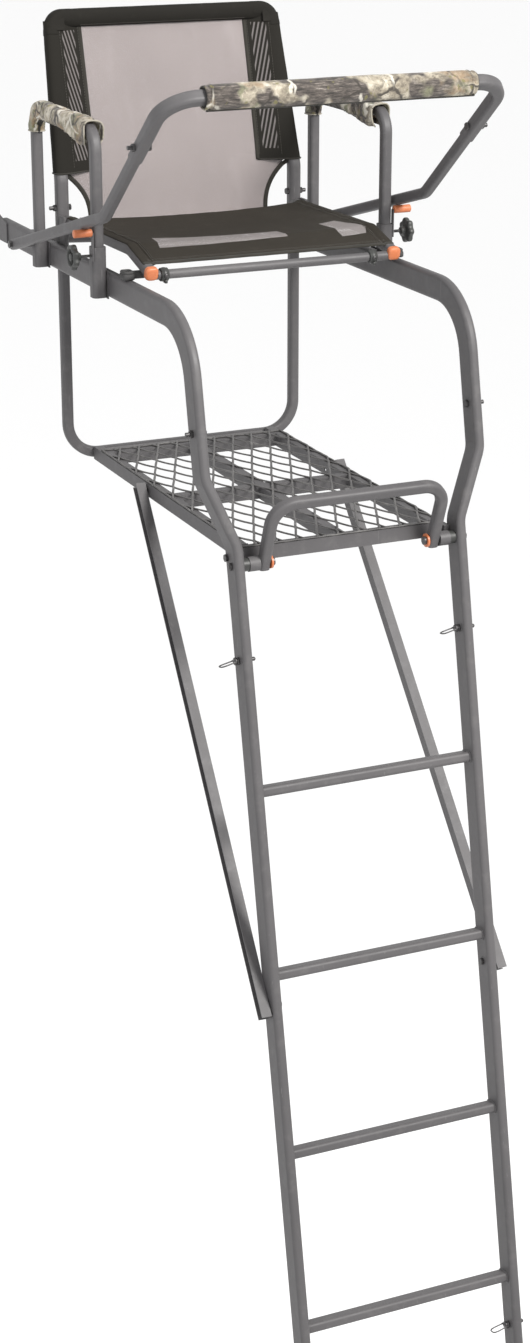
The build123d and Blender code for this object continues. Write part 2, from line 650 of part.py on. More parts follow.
def shooting_arm(side):
    """Rear arm: from the pivot forward, then up into the front frame."""
    behind_pivot = 15.0
    inside = 70.0
    end_share = SHOOT_SEAM + inside / rise_length
    path = FilletPolyline(
        (side * SHOOT_X, SHOOT_PIVOT_Y + behind_pivot, SHOOT_PIVOT_Z - behind_pivot * ARM_SLOPE),
        (side * SHOOT_X, SHOOT_BEND_Y, SHOOT_BEND_Z),
        (side * SHOOT_X, SHOOT_BEND_Y - rise_y * end_share, SHOOT_BEND_Z + rise_z * end_share),
        radius=55.0,
    )
    arm = swept_tube(path, ARM_TUBE, ARM_TUBE, TUBE_CORNER, WALL, (1, 0, 0))
    hole = PIN_RADIUS + HOLE_GAP
    inner = side * (SHOOT_X - ARM_TUBE)
    outer = side * (SHOOT_X + ARM_TUBE)
    arm -= along_x(hole, inner, outer, SHOOT_PIVOT_Y, SHOOT_PIVOT_Z)
    return arm - along_x(hole, inner, outer, shoot_bolt_y, shoot_bolt_z)


def shooting_front():
    """Front frame: up from each arm, round two corners and across."""
    path = FilletPolyline(
        (-SHOOT_X, seam_y, seam_z),
        (-SHOOT_X, SHOOT_FRONT_Y, SHOOT_FRONT_Z),
        (SHOOT_X, SHOOT_FRONT_Y, SHOOT_FRONT_Z),
        (SHOOT_X, seam_y, seam_z),
        radius=SHOOT_CORNER_RADIUS,
    )
    frame = swept_tube(path, SHOOT_FRONT_TUBE, SHOOT_FRONT_TUBE, TUBE_CORNER, WALL, (1, 0, 0))
    return frame - along_x(PIN_RADIUS + HOLE_GAP, -2 * SHOOT_X, 2 * SHOOT_X, shoot_bolt_y, shoot_bolt_z)


def rail_sleeve():
    """Padded sleeve round the bar of the shooting rail, square to the bar's tilt."""
    gap = 0.5
    tilt = degrees(atan2(rise_z, rise_y))
    hole = SHOOT_FRONT_TUBE + 2 * gap
    ring = Circle(SLEEVE_RADIUS) - Rot(0, 0, -tilt) * RectangleRounded(hole, hole, TUBE_CORNER)
    sleeve = extrude(ring, SLEEVE_HALF_LENGTH, both=True)
    return Pos(0, SHOOT_FRONT_Y, SHOOT_FRONT_Z) * Rot(0, 90, 0) * sleeve


def pivot_bolt(side):
    """Bolt from inside the seat rail, through a spacer, to the arm's outer face."""
    running_gap = 0.05
    rail_face = SEAT_RAIL_X + RAIL_WIDTH / 2
    arm_in = SHOOT_X - ARM_TUBE / 2
    arm_out = SHOOT_X + ARM_TUBE / 2
    spacer = along_x(9.0, side * (rail_face + 0.1), side * (arm_in - 0.4), SHOOT_PIVOT_Y, SHOOT_PIVOT_Z)
    inner = side * (SEAT_RAIL_X - RAIL_WIDTH / 2 - 0.2)
    radius = PIN_RADIUS + HOLE_GAP - running_gap
    shank = along_x(radius, inner, side * (arm_out + 1.0), SHOOT_PIVOT_Y, SHOOT_PIVOT_Z)
    head_place = Pos(side * (arm_out + 0.4), SHOOT_PIVOT_Y, SHOOT_PIVOT_Z)
    head = head_place * Rot(0, 90 * side, 0) * hex_nut(8.0, 5.5)
    nut = Pos(inner, SHOOT_PIVOT_Y, SHOOT_PIVOT_Z) * Rot(0, -90 * side, 0) * hex_nut(8.0, 5.0)
    return spacer + shank + head + nut


for side_name, side in SIDES:
    export(shooting_arm(side), f"shooting_arm_{side_name}")
export(shooting_front(), "shooting_front")
export(rail_sleeve(), "shooting_sleeve")
export(group([pivot_bolt(side) for side_name, side in SIDES]), "shooting_pivots")
half_front = SHOOT_FRONT_TUBE / 2 + 0.2
joint_bolts = []
for side_name, side in SIDES:
    head_x = side * (SHOOT_X - half_front)
    nut_x = side * (SHOOT_X + half_front)
    joint_bolts.append(bolt_along_x(head_x, nut_x, shoot_bolt_y, shoot_bolt_z, tail=8.0))
export(group(joint_bolts), "shooting_bolts")


# ---------------------------------------------------------------- seat
def seat_tube(side):
    """Side tube of the seat: level from the pivot, dipping to the front."""
    path = FilletPolyline(
        (side * SEAT_TUBE_X, SEAT_PIVOT_Y + SEAT_TUBE_TAIL, SEAT_PIVOT_Z),
        (side * SEAT_TUBE_X, SEAT_BEND_Y, SEAT_BEND_Z),
        (side * SEAT_TUBE_X, SEAT_FRONT_Y, SEAT_FRONT_Z),
        radius=SEAT_BEND_RADIUS,
    )
    tube_shape = swept_tube(path, TUBE, TUBE, TUBE_CORNER, WALL, (1, 0, 0))
    hole = PIN_RADIUS + HOLE_GAP
    inner = side * (SEAT_TUBE_X - TUBE)
    outer = side * (SEAT_TUBE_X + TUBE)
    return tube_shape - along_x(hole, inner, outer, SEAT_PIVOT_Y, SEAT_PIVOT_Z)


def seat_cap(side, grow=0.0):
    """Plastic cap over the front end of a seat tube, larger all round by grow."""
    cap_gap = 0.1
    size = SEAT_CAP_SIZE + 2 * grow
    dip = atan2(SEAT_BEND_Z - SEAT_FRONT_Z, SEAT_BEND_Y - SEAT_FRONT_Y)
    forward = Vector(0, -cos(dip), -sin(dip))
    start = Vector(side * SEAT_TUBE_X, SEAT_FRONT_Y, SEAT_FRONT_Z) + forward * (cap_gap - grow)
    plane = Plane(origin=start, x_dir=(1, 0, 0), z_dir=forward)
    return extrude(plane * RectangleRounded(size, size, SEAT_CAP_CORNER), SEAT_CAP_LENGTH + grow)


def seat_crossbar():
    """Round bar between the seat tubes' front ends, cut clear of the end caps."""
    half = SEAT_TUBE_X - TUBE / 2 - 0.1
    clearance = 0.2
    bar = along_x(CROSSBAR_RADIUS, -half, half, SEAT_FRONT_Y, SEAT_FRONT_Z - CROSSBAR_DROP)
    return bar - seat_cap(-1, clearance) - seat_cap(1, clearance)


def seat_sling():
    """Fabric between the seat tubes: level, then down to the front hem."""
    half = SEAT_TUBE_X - TUBE / 2 - 0.5
    under = SEAT_FABRIC_THICKNESS
    rear_y = SEAT_PIVOT_Y - 14.0
    front_y = SEAT_FRONT_Y + 14.0
    outline = Polyline(
        (rear_y, SEAT_PIVOT_Z + 4.0),
        (SEAT_BEND_Y, SEAT_BEND_Z + 3.0),
        (front_y, SEAT_FRONT_Z + 9.0),
        (front_y, SEAT_FRONT_Z + 9.0 - under),
        (SEAT_BEND_Y, SEAT_BEND_Z + 3.0 - under),
        (rear_y, SEAT_PIVOT_Z + 4.0 - under),
        close=True,
    )
    return extrude(Plane.YZ * make_face(outline), half, both=True)


def knuckle_clamp(x_centre):
    """Plastic knuckle on the seat's front crossbar."""
    half = 9.0
    radius = 15.0
    bar_z = SEAT_FRONT_Z - CROSSBAR_DROP
    low = x_centre - half
    high = x_centre + half
    ring = along_x(radius, low, high, SEAT_FRONT_Y, bar_z)
    ear = block(low, high, SEAT_FRONT_Y, SEAT_FRONT_Y + 22.0, bar_z - 6.0, bar_z + 6.0)
    hole = along_x(CROSSBAR_RADIUS + 0.2, low - half, high + half, SEAT_FRONT_Y, bar_z)
    return ring + ear - hole


def seat_rest(side):
    """Rubber rest on the seat rail, with an inboard arm under the seat tube."""
    rail_top = SEAT_RAIL_Z + RAIL_DEPTH / 2
    rest_y = SEAT_FRONT_Y + 44.0
    under_tube = 0.3
    dip = (SEAT_BEND_Z - SEAT_FRONT_Z) / (SEAT_BEND_Y - SEAT_FRONT_Y)
    tube_z = SEAT_FRONT_Z + dip * (rest_y - 11.0 - SEAT_FRONT_Y) - TUBE / 2 / cos(atan2(dip, 1.0))
    inner = side * SEAT_REST_INNER
    outer = side * SEAT_REST_OUTER
    arm_end = side * SEAT_REST_ARM
    arm_root = side * (SEAT_REST_INNER + 1.0)
    pad = block(inner, outer, rest_y - 15.0, rest_y + 15.0, rail_top + 0.1, rail_top + SEAT_REST_HEIGHT)
    arm = block(arm_end, arm_root, rest_y - 11.0, rest_y + 9.0, rail_top + 2.0, tube_z - under_tube)
    return pad + arm


def seat_pivot_plate(side):
    """Plate on the seat rail's inner face that carries the seat's pivot bolt."""
    inner = SEAT_TUBE_X + TUBE / 2 + 0.5
    outer = SEAT_RAIL_X - RAIL_WIDTH / 2 - 0.1
    front = SEAT_PIVOT_Y - 15.0
    rear = SEAT_PIVOT_Y + 14.0
    return block(side * inner, side * outer, front, rear, PIVOT_PLATE_LOW, SEAT_PIVOT_Z + 12.0)


def seat_pivot_bolt(side):
    """Pivot bolt from the plate through the seat tube."""
    running_gap = 0.05
    inner = SEAT_TUBE_X - TUBE / 2 - 0.4
    outer = SEAT_RAIL_X - RAIL_WIDTH / 2 - 1.5
    radius = PIN_RADIUS + HOLE_GAP - running_gap
    shank = along_x(radius, side * inner, side * outer, SEAT_PIVOT_Y, SEAT_PIVOT_Z)
    head = Pos(side * inner, SEAT_PIVOT_Y, SEAT_PIVOT_Z) * Rot(0, -90 * side, 0) * hex_nut(7.5, 5.0)
    return shank + head


caps = []
pivots = []
for side_name, side in SIDES:
    export(seat_tube(side), f"seat_tube_{side_name}")
    caps.append(seat_cap(side))
    pivots.append(seat_pivot_plate(side) + seat_pivot_bolt(side))
export(group(caps), "seat_end_caps")
export(group(pivots), "seat_pivots")
export(group([seat_rest(side) for side_name, side in SIDES]), "seat_rests")
rear_half = SEAT_TUBE_X - TUBE / 2 - 0.1
rear_bar_y = SEAT_PIVOT_Y - REAR_BAR_FORWARD
rear_bar_z = SEAT_PIVOT_Z - REAR_BAR_DROP
export(seat_crossbar(), "seat_crossbar")
export(group([knuckle_clamp(x) for x in CLAMP_X]), "seat_clamps")
export(along_x(REAR_BAR_RADIUS, -rear_half, rear_half, rear_bar_y, rear_bar_z), "seat_rear_bar")
export(seat_sling(), "seat_sling")


# ---------------------------------------------------------------- backrest
def back_frame():
    """Backrest tube: up from the U brace, reclined above the seat, across the top."""
    path = FilletPolyline(
        (-U_BRACE_X, U_BRACE_Y, BACK_POST_BOTTOM_Z),
        (-U_BRACE_X, U_BRACE_Y, BACK_KINK_Z),
        (-BACK_TOP_X, BACK_TOP_Y, BACK_TOP_Z),
        (BACK_TOP_X, BACK_TOP_Y, BACK_TOP_Z),
        (U_BRACE_X, U_BRACE_Y, BACK_KINK_Z),
        (U_BRACE_X, U_BRACE_Y, BACK_POST_BOTTOM_Z),
        radius=BACK_CORNER_RADIUS,
    )
    corner = TUBE_CORNER + 1.5
    frame = swept_tube(path, POST_TUBE, POST_TUBE, corner, POST_WALL, (1, 0, 0))
    return frame - along_x(PIN_RADIUS + HOLE_GAP, -SHOOT_X, SHOOT_X, U_BRACE_Y, BACK_BOLT_Z)


def back_sling():
    """Mesh panel between the backrest posts, hanging from the top tube to the seat."""
    thickness = 6.0
    bottom_z = SEAT_PIVOT_Z + 26.0
    slope = (BACK_TOP_Y - U_BRACE_Y) / (BACK_TOP_Z - BACK_KINK_Z)
    top_z = BACK_TOP_Z - POST_TUBE / 2 - 2.0
    top_y = U_BRACE_Y + slope * (top_z - BACK_KINK_Z)
    outline = Polyline(
        (U_BRACE_Y, bottom_z),
        (U_BRACE_Y, BACK_KINK_Z),
        (top_y, top_z),
        (top_y + thickness, top_z),
        (U_BRACE_Y + thickness, BACK_KINK_Z),
        (U_BRACE_Y + thickness, bottom_z),
        close=True,
    )
    half_top = BACK_TOP_X - POST_TUBE / 2 - 3.0
    return extrude(Plane.YZ * make_face(outline), half_top, both=True)


export(back_frame(), "back_frame")
export(back_sling(), "back_sling")
half_post = POST_TUBE / 2 + 0.2
back_bolts = []
for side_name, side in SIDES:
    head_x = side * (U_BRACE_X - half_post)
    nut_x = side * (U_BRACE_X + half_post)
    back_bolts.append(bolt_along_x(head_x, nut_x, U_BRACE_Y, BACK_BOLT_Z, head=6.5, tail=8.0))
export(group(back_bolts), "back_bolts")


# ---------------------------------------------------------------- footrest
def footrest():
    """Footrest bar: two arms leaning forward and a bar across."""
    lean_back = radians(FOOTREST_LEAN)
    top_y = FOOT_PIVOT_Y - FOOTREST_LENGTH * sin(lean_back)
    top_z = FOOT_PIVOT_Z + FOOTREST_LENGTH * cos(lean_back)
    tail_y = 12.0 * sin(lean_back)
    tail_z = 12.0 * cos(lean_back)
    path = FilletPolyline(
        (-FOOTREST_X, FOOT_PIVOT_Y + tail_y, FOOT_PIVOT_Z - tail_z),
        (-FOOTREST_X, top_y, top_z),
        (FOOTREST_X, top_y, top_z),
        (FOOTREST_X, FOOT_PIVOT_Y + tail_y, FOOT_PIVOT_Z - tail_z),
        radius=FOOTREST_BEND,
    )
    bar = swept_tube(path, TUBE, TUBE, TUBE_CORNER, WALL, (1, 0, 0))
    return bar - along_x(PIN_RADIUS + HOLE_GAP, -LADDER_X, LADDER_X, FOOT_PIVOT_Y, FOOT_PIVOT_Z)


def foot_ring(radius, x_from, x_to):
    """Washer or spacer round the footrest's pivot bolt."""
    hole = along_x(PIN_RADIUS + HOLE_GAP, x_from - 1.0, x_to + 1.0, FOOT_PIVOT_Y, FOOT_PIVOT_Z)
    return along_x(radius, x_from, x_to, FOOT_PIVOT_Y, FOOT_PIVOT_Z) - hole


def both_sides(shape):
    """A right-hand piece and its mirror image, as one group."""
    return group([shape, mirror(shape, Plane.YZ)])


arm_inner = FOOTREST_X - TUBE / 2
arm_outer = FOOTREST_X + TUBE / 2
upright_inner = LADDER_X - RAIL_WIDTH / 2
spacer_end = upright_inner - 12.5
running_gap = 0.05
upright_outer = LADDER_X + RAIL_WIDTH / 2
shank_radius = PIN_RADIUS + HOLE_GAP - running_gap
bolt_shank = along_x(shank_radius, arm_inner - 6.0, upright_outer + 6.0, FOOT_PIVOT_Y, FOOT_PIVOT_Z)
nut_place = Pos(upright_outer + 0.2, FOOT_PIVOT_Y, FOOT_PIVOT_Z) * Rot(0, 90, 0)
bolt_nut = nut_place * hex_nut(7.5, 5.0)
bolt_cap = along_x(8.0, arm_inner - 9.0, arm_inner - 4.2, FOOT_PIVOT_Y, FOOT_PIVOT_Z)
export(footrest(), "footrest")
export(both_sides(foot_ring(13.0, arm_inner - 4.0, arm_inner - 0.3)), "footrest_inner_washers")
export(both_sides(foot_ring(14.0, arm_outer + 0.3, spacer_end)), "footrest_spacers")
export(both_sides(foot_ring(12.5, spacer_end + 0.2, upright_inner - 0.2)), "footrest_outer_washers")
export(both_sides(bolt_shank + bolt_nut + bolt_cap), "footrest_bolts")

hanger_head = SEAT_RAIL_X - RAIL_WIDTH / 2
leg_inner = U_BRACE_X - TUBE / 2 - 0.2
hanger = along_x(PIN_RADIUS, leg_inner, hanger_head + RAIL_WIDTH - 3.0, U_BRACE_Y, SEAT_RAIL_Z)
hanger += Pos(leg_inner, U_BRACE_Y, SEAT_RAIL_Z) * Rot(0, -90, 0) * hex_nut(7.5, 5.0)
hanger_bolts = [hanger, mirror(hanger, Plane.YZ)]
export(group(seam_bolts + corner_bolts + brace_bolts + socket_bolts + hanger_bolts), "frame_bolts")
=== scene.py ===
import json
import math

import bmesh
import bpy
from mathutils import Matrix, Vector, noise


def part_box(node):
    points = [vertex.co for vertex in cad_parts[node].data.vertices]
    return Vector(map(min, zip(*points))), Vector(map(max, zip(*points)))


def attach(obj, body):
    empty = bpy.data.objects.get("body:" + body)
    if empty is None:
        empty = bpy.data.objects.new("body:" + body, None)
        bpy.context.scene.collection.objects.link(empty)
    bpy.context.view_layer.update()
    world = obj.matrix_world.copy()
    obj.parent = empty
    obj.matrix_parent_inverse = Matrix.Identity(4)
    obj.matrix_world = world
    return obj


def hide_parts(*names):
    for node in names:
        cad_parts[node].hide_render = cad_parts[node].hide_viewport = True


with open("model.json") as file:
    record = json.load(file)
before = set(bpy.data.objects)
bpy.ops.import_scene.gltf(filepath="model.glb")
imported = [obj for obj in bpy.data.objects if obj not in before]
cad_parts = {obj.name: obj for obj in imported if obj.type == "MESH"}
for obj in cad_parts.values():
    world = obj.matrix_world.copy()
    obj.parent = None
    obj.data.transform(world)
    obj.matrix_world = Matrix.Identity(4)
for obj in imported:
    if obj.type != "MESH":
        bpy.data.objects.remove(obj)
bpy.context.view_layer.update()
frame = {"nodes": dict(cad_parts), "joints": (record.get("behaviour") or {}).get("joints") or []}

# Places are in millimetres from the platform top, midway between the uprights:
# x to the right, y to the tree, z up.
MM = 0.001
PI = math.pi
JOINT_AT = {j["name"]: Vector(j["pos_m"]) for j in frame["joints"] if "pos_m" in j}
SEAT_PIVOT = Vector((0, 0.786, 0.480))
ORIGIN = JOINT_AT["seat_flip"] - SEAT_PIVOT
LEAN = math.radians(11.78)            # of the ladder, back from upright
SIDES = ((-1, "left"), (1, "right"))
X_AXIS = Vector((1, 0, 0))
Y_AXIS = Vector((0, 1, 0))
Z_AXIS = Vector((0, 0, 1))
UP_RAIL = Vector((0, math.sin(LEAN), math.cos(LEAN)))
OFF_RAIL = Vector((0, math.cos(LEAN), -math.sin(LEAN)))

# Ladder, measured up the leaning rails
RAIL_X = 230.0
FIRST_RUNG_UP = -455.0
RUNG_PITCH = 355.0
RUNGS = 4
SECTIONS = 3
FIRST_SEAM_UP = -248.0
SECTION_LENGTH = 1420.0
PIN_ABOVE_SEAM = 45.0

# Seat
SEAT_TUBE_X = 255.0
SEAT_FRONT_Y = 338.0
SEAT_BEND_Y = 436.0
SEAT_TUBE_Z = 484.0
SEAT_FRONT_DROP = 27.0
SEAT_FRONT_RUN = SEAT_BEND_Y - SEAT_FRONT_Y
CLOTH_HALF = 264.5
CLOTH_FRONT = 351.0
CLOTH_REAR = 773.0
LEFT_WINDOW = ((-188.0, 499.0), (74.0, 490.0), (69.0, 424.0), (-206.0, 411.0))
RIGHT_WINDOW = ((179.0, 517.0), (214.0, 520.0), (240.0, 428.0), (229.0, 402.0), (176.0, 399.0))

# Armrests, their sockets and knobs
SOCKET_Y = 479.0
KNOB_Z = 469.0
ARMREST_X = 308.0
PAD_TOP_Z = 707.0

# Shooting rail's padded sleeve
SLEEVE_Y = 45.0
SLEEVE_Z = 815.0
SLEEVE_HALF = 267.0
SLEEVE_RADIUS = 22.6

# Backrest: posts that lean back above a kink, and a top tube
POST_X = 260.0
POST_Y = 815.0
KINK_Z = 560.0
TOP_X = 243.0
TOP_Y = 903.0
TOP_Z = 874.0
CORNER = 24.0
SEAM_X = 183.0
POCKET_LOW = 574.0
POCKET_HIGH = 866.0
PANEL_LOW = 456.0
PANEL_HIGH = 869.0
STRIPES_LOW = 596.0
STRIPES_HIGH = 848.0


def at(x, y, z):
    """World point of a place given in millimetres."""
    return ORIGIN + Vector((x, y, z)) * MM


def on_rail(x, up, rear=0.0):
    """World point on the leaning rails, up along them and to their rear."""
    return at(x, 0, 0) + (UP_RAIL * up + OFF_RAIL * rear) * MM


def smooth_step(low, high, value):
    """Zero below low, one above high, smooth between."""
    share = max(0.0, min(1.0, (value - low) / (high - low)))
    return share * share * (3 - 2 * share)


def shares(count):
    """Even steps from 0 to 1."""
    return [k / (count - 1) for k in range(count)]


def turns(count):
    """Even steps round a circle, without the last."""
    return [2 * PI * k / count for k in range(count)]


def squared(turn, power):
    """Cosine and sine of a turn, bulged towards a square outline by a power below one."""
    return tuple(math.copysign(abs(wave) ** power, wave) for wave in (math.cos(turn), math.sin(turn)))


# ---------------------------------------------------------------- camera, light, floor
def aim(data, name, place, direction):
    """Links a camera or lamp that looks along a direction."""
    made = bpy.data.objects.new(name, data)
    bpy.context.scene.collection.objects.link(made)
    made.location = place
    made.rotation_mode = "QUATERNION"
    made.rotation_quaternion = direction.to_track_quat("-Z", "Y")
    return made


def make_camera():
    azimuth = math.radians(23.95)
    pitch = math.radians(20.19)
    data = bpy.data.cameras.new("camera")
    data.sensor_width = 36.0
    data.lens = 66.99
    data.clip_end = 400.0
    level = math.cos(pitch)
    looking = Vector((math.sin(azimuth) * level, math.cos(azimuth) * level, -math.sin(pitch)))
    bpy.context.scene.camera = aim(data, "camera", at(-1958.0, -4029.0, 1377.0), looking)


def area_light(name, place, size, power, colour):
    data = bpy.data.lights.new(name, "AREA")
    data.shape = "DISK"
    data.size = size
    data.energy = power
    data.color = colour
    aim(data, name, place, at(0, 300, 300) - place)


def make_studio():
    world = bpy.data.worlds.new("studio")
    world.use_nodes = True
    background = world.node_tree.nodes["Background"]
    background.inputs["Color"].default_value = (1.0, 1.0, 1.0, 1.0)
    background.inputs["Strength"].default_value = 1.0
    scene = bpy.context.scene
    scene.world = world
    scene.view_settings.view_transform = "Standard"
    scene.view_settings.look = "None"
    area_light("key", at(1900, -4300, 4000), 2.2, 560.0, (1.0, 0.985, 0.965))
    area_light("fill", at(-4200, -1500, 1600), 3.0, 40.0, (0.94, 0.97, 1.0))
    bpy.ops.mesh.primitive_plane_add(size=260.0, location=(0, 0, 0))
    floor = bpy.context.object
    floor.name = "floor"
    material = bpy.data.materials.new("floor")
    material.use_nodes = True
    shader = material.node_tree.nodes["Principled BSDF"]
    shader.inputs["Base Color"].default_value = (0.965, 0.965, 0.965, 1)
    shader.inputs["Roughness"].default_value = 0.9
    shader.inputs["Specular IOR Level"].default_value = 0.1
    floor.data.materials.append(material)


# ---------------------------------------------------------------- material kit
def grey(level):
    return (level, level, level)


class Shade:
    """A material under construction: adds nodes and links them by name."""

    def __init__(self, name):
        self.material = bpy.data.materials.new(name)
        self.material.use_nodes = True
        self.tree = self.material.node_tree
        self.shader = self.tree.nodes["Principled BSDF"]
        self.coord = self.tree.nodes.new("ShaderNodeTexCoord").outputs["Object"]

    def node(self, kind, inputs=None, **settings):
        made = self.tree.nodes.new("ShaderNode" + kind)
        for key, value in settings.items():
            setattr(made, key, value)
        for key, value in (inputs or {}).items():
            self.put(made.inputs[key], value)
        return made

    def put(self, socket, value):
        if isinstance(value, bpy.types.NodeSocket):
            self.tree.links.new(value, socket)
        else:
            socket.default_value = value

    def split(self):
        made = self.node("SeparateXYZ", {"Vector": self.coord})
        return made.outputs["X"], made.outputs["Y"], made.outputs["Z"]

    def mapped(self, scale=(1, 1, 1), rotation=(0, 0, 0), location=(0, 0, 0)):
        inputs = {"Vector": self.coord, "Scale": scale, "Rotation": rotation, "Location": location}
        return self.node("Mapping", inputs).outputs["Vector"]

    def noise(self, scale, detail=3.0, roughness=0.5, vector=None):
        inputs = {
            "Vector": vector or self.coord, "Scale": scale, "Detail": detail, "Roughness": roughness,
        }
        return self.node("TexNoise", inputs).outputs["Fac"]

    def ramp(self, value, stops):
        made = self.node("ValToRGB", {"Fac": value})
        band = made.color_ramp
        while len(band.elements) < len(stops):
            band.elements.new(0.5)
        for element, (place, colour) in zip(band.elements, stops):
            element.position = place
            element.color = colour + (1.0,)
        return made.outputs["Color"]

    def fade(self, value, low, high, start=0.0, end=1.0):
        """Grey that goes from start at low to end at high."""
        return self.ramp(value, [(low, grey(start)), (high, grey(end))])

    def math(self, operation, *values, clamp=False):
        made = self.node("Math", operation=operation, use_clamp=clamp)
        for socket, value in zip(made.inputs, values):
            self.put(socket, value)
        return made.outputs[0]

    def mix(self, share, first, second, blend="MIX"):
        made = self.node("Mix", data_type="RGBA", blend_type=blend)
        factor, colour_a, colour_b = made.inputs[0], made.inputs[6], made.inputs[7]
        self.put(factor, share)
        for socket, colour in ((colour_a, first), (colour_b, second)):
            self.put(socket, colour + (1.0,) if isinstance(colour, tuple) else colour)
        return made.outputs[2]

    def bump(self, height, strength, distance, normal=None):
        made = self.node("Bump", {"Height": height, "Strength": strength, "Distance": distance})
        if normal is not None:
            self.put(made.inputs["Normal"], normal)
        return made.outputs["Normal"]

    def finish(self, **inputs):
        for key, value in inputs.items():
            self.put(self.shader.inputs[key.replace("_", " ")], value)
        return self.material


# ---------------------------------------------------------------- hard finishes
def powder_coat():
    """Grey powder coat with dust, fine peel and scuffs along the tubes."""
    s = Shade("powder_coat")
    dust = s.noise(38.0, 6.0, 0.65)
    cloud = s.fade(s.noise(2.3, 3.0), 0.35, 0.68)
    base = s.mix(cloud, (0.066, 0.063, 0.065), (0.086, 0.082, 0.084))
    base = s.mix(s.fade(dust, 0.52, 0.74, 0.0, 0.5), base, (0.118, 0.113, 0.112))
    scuff = s.noise(1.0, 2.0, vector=s.mapped(scale=(260.0, 260.0, 18.0)))
    base = s.mix(s.fade(scuff, 0.70, 0.76, 0.0, 0.55), base, (0.150, 0.146, 0.147))
    fine = s.bump(s.noise(2600.0, 2.0), 0.10, 0.0003)
    normal = s.bump(s.noise(900.0, 2.0), 0.22, 0.0006, fine)
    rough = s.fade(dust, 0.3, 0.75, 0.46, 0.62)
    return s.finish(Base_Color=base, Roughness=rough, Normal=normal, Specular_IOR_Level=0.42)


def grate_coat():
    """The same coat on expanded metal, worn lighter in patches."""
    s = Shade("grate_coat")
    dust = s.noise(60.0, 5.0, 0.6)
    base = s.mix(s.fade(dust, 0.4, 0.7), (0.066, 0.063, 0.062), (0.108, 0.103, 0.100))
    worn = s.fade(s.noise(21.0, 4.0), 0.58, 0.70, 0.0, 0.6)
    base = s.mix(worn, base, (0.20, 0.194, 0.188))
    normal = s.bump(s.noise(1100.0, 2.0), 0.25, 0.0005)
    return s.finish(Base_Color=base, Roughness=s.fade(dust, 0.3, 0.7, 0.42, 0.6), Normal=normal)


def moulded(name, cloud, dark, light, grain, bump, rough, **extra):
    """Moulded, plated or plain cloth finish: cloudy colour, fine grain, uneven roughness.

    cloud and grain are noise settings, bump is strength and distance, rough is one value or a
    fade of the cloud.
    """
    s = Shade(name)
    blotch = s.noise(*cloud)
    base = s.mix(blotch, dark, light)
    normal = s.bump(s.noise(*grain), *bump)
    if isinstance(rough, tuple):
        rough = s.fade(blotch, *rough)
    return s.finish(Base_Color=base, Roughness=rough, Normal=normal, **extra)


def orange_plastic():
    s = Shade("orange_plastic")
    cloud = s.noise(55.0, 4.0)
    base = s.mix(cloud, (0.42, 0.125, 0.048), (0.52, 0.160, 0.064))
    scuffs = s.fade(s.noise(420.0, 3.0), 0.64, 0.74, 0.0, 0.35)
    base = s.mix(scuffs, base, (0.68, 0.30, 0.13))
    normal = s.bump(s.noise(1700.0, 2.0), 0.25, 0.0004)
    return s.finish(Base_Color=base, Roughness=s.fade(cloud, 0.3, 0.7, 0.36, 0.5), Normal=normal)


# ---------------------------------------------------------------- fabrics
def weave(s, across, along, pitch):
    """Crossing of two thread waves, from -1 to 1, and its height as a value from 0 to 1."""
    waves = [s.math("SINE", s.math("MULTIPLY", run, PI / pitch)) for run in (across, along)]
    crossing = s.math("MULTIPLY", *waves)
    return crossing, s.math("MULTIPLY_ADD", crossing, 0.5, 0.5)


def see_through(s, crossing, open_share, where=1.0):
    """Alpha of an open weave: zero in its small square holes, in the places where it is open."""
    hole = s.math("GREATER_THAN", s.math("ABSOLUTE", crossing), 1.0 - open_share)
    return s.math("SUBTRACT", 1.0, s.math("MULTIPLY", hole, where))


def dark_cloth(s, height, low, high, groove_shade, rubbed=None):
    """Colour of dark coated mesh: cloudy, with painted shade between the threads, perhaps rubbed lighter."""
    cloth = s.mix(s.noise(7.0, 4.0), low, high)
    if rubbed:
        cloth = s.mix(s.fade(s.noise(31.0, 5.0, 0.6), 0.56, 0.76, 0.0, 0.35), cloth, rubbed)
    # painted shade: darkens the cloth where the weave is low, between the threads
    return s.mix(s.fade(height, 0.15, 0.6, 0.5, 0.0), cloth, groove_shade)


def back_mesh():
    """Light see-through mesh of the backrest."""
    s = Shade("back_mesh")
    x, y, z = s.split()
    crossing, height = weave(s, x, z, 0.0011)
    base = s.mix(s.noise(5.0, 4.0), (0.222, 0.192, 0.188), (0.292, 0.254, 0.248))
    # painted highlight: lighter vertical streaks where folds would catch the light
    fold = s.noise(24.0, 2.0, vector=s.mapped(scale=(1, 1, 0.12)))
    base = s.mix(s.fade(fold, 0.55, 0.8, 0.0, 0.4), base, (0.340, 0.300, 0.294))
    # painted shade: darker where the weave is low, between the threads
    base = s.mix(s.fade(height, 0.1, 0.6, 0.35, 0.0), base, (0.11, 0.098, 0.098))
    normal = s.bump(height, 0.35, 0.0003)
    alpha = see_through(s, crossing, 0.22)
    return s.finish(Base_Color=base, Roughness=0.78, Normal=normal, Alpha=alpha, Sheen_Weight=0.12)


def hem_mesh():
    """Dark mesh wrapped round the backrest's top tube."""
    s = Shade("hem_mesh")
    x, y, z = s.split()
    crossing, height = weave(s, x, z, 0.0013)
    # the third colour is painted shade between the threads
    base = dark_cloth(
        s, height, (0.01482, 0.01365, 0.0117), (0.019, 0.0175, 0.015), (0.00665, 0.006125, 0.00525),
        rubbed=(0.0323, 0.02975, 0.0255),
    )
    normal = s.bump(height, 0.5, 0.0004)
    return s.finish(Base_Color=base, Roughness=0.8, Normal=normal, Specular_IOR_Level=0.10)


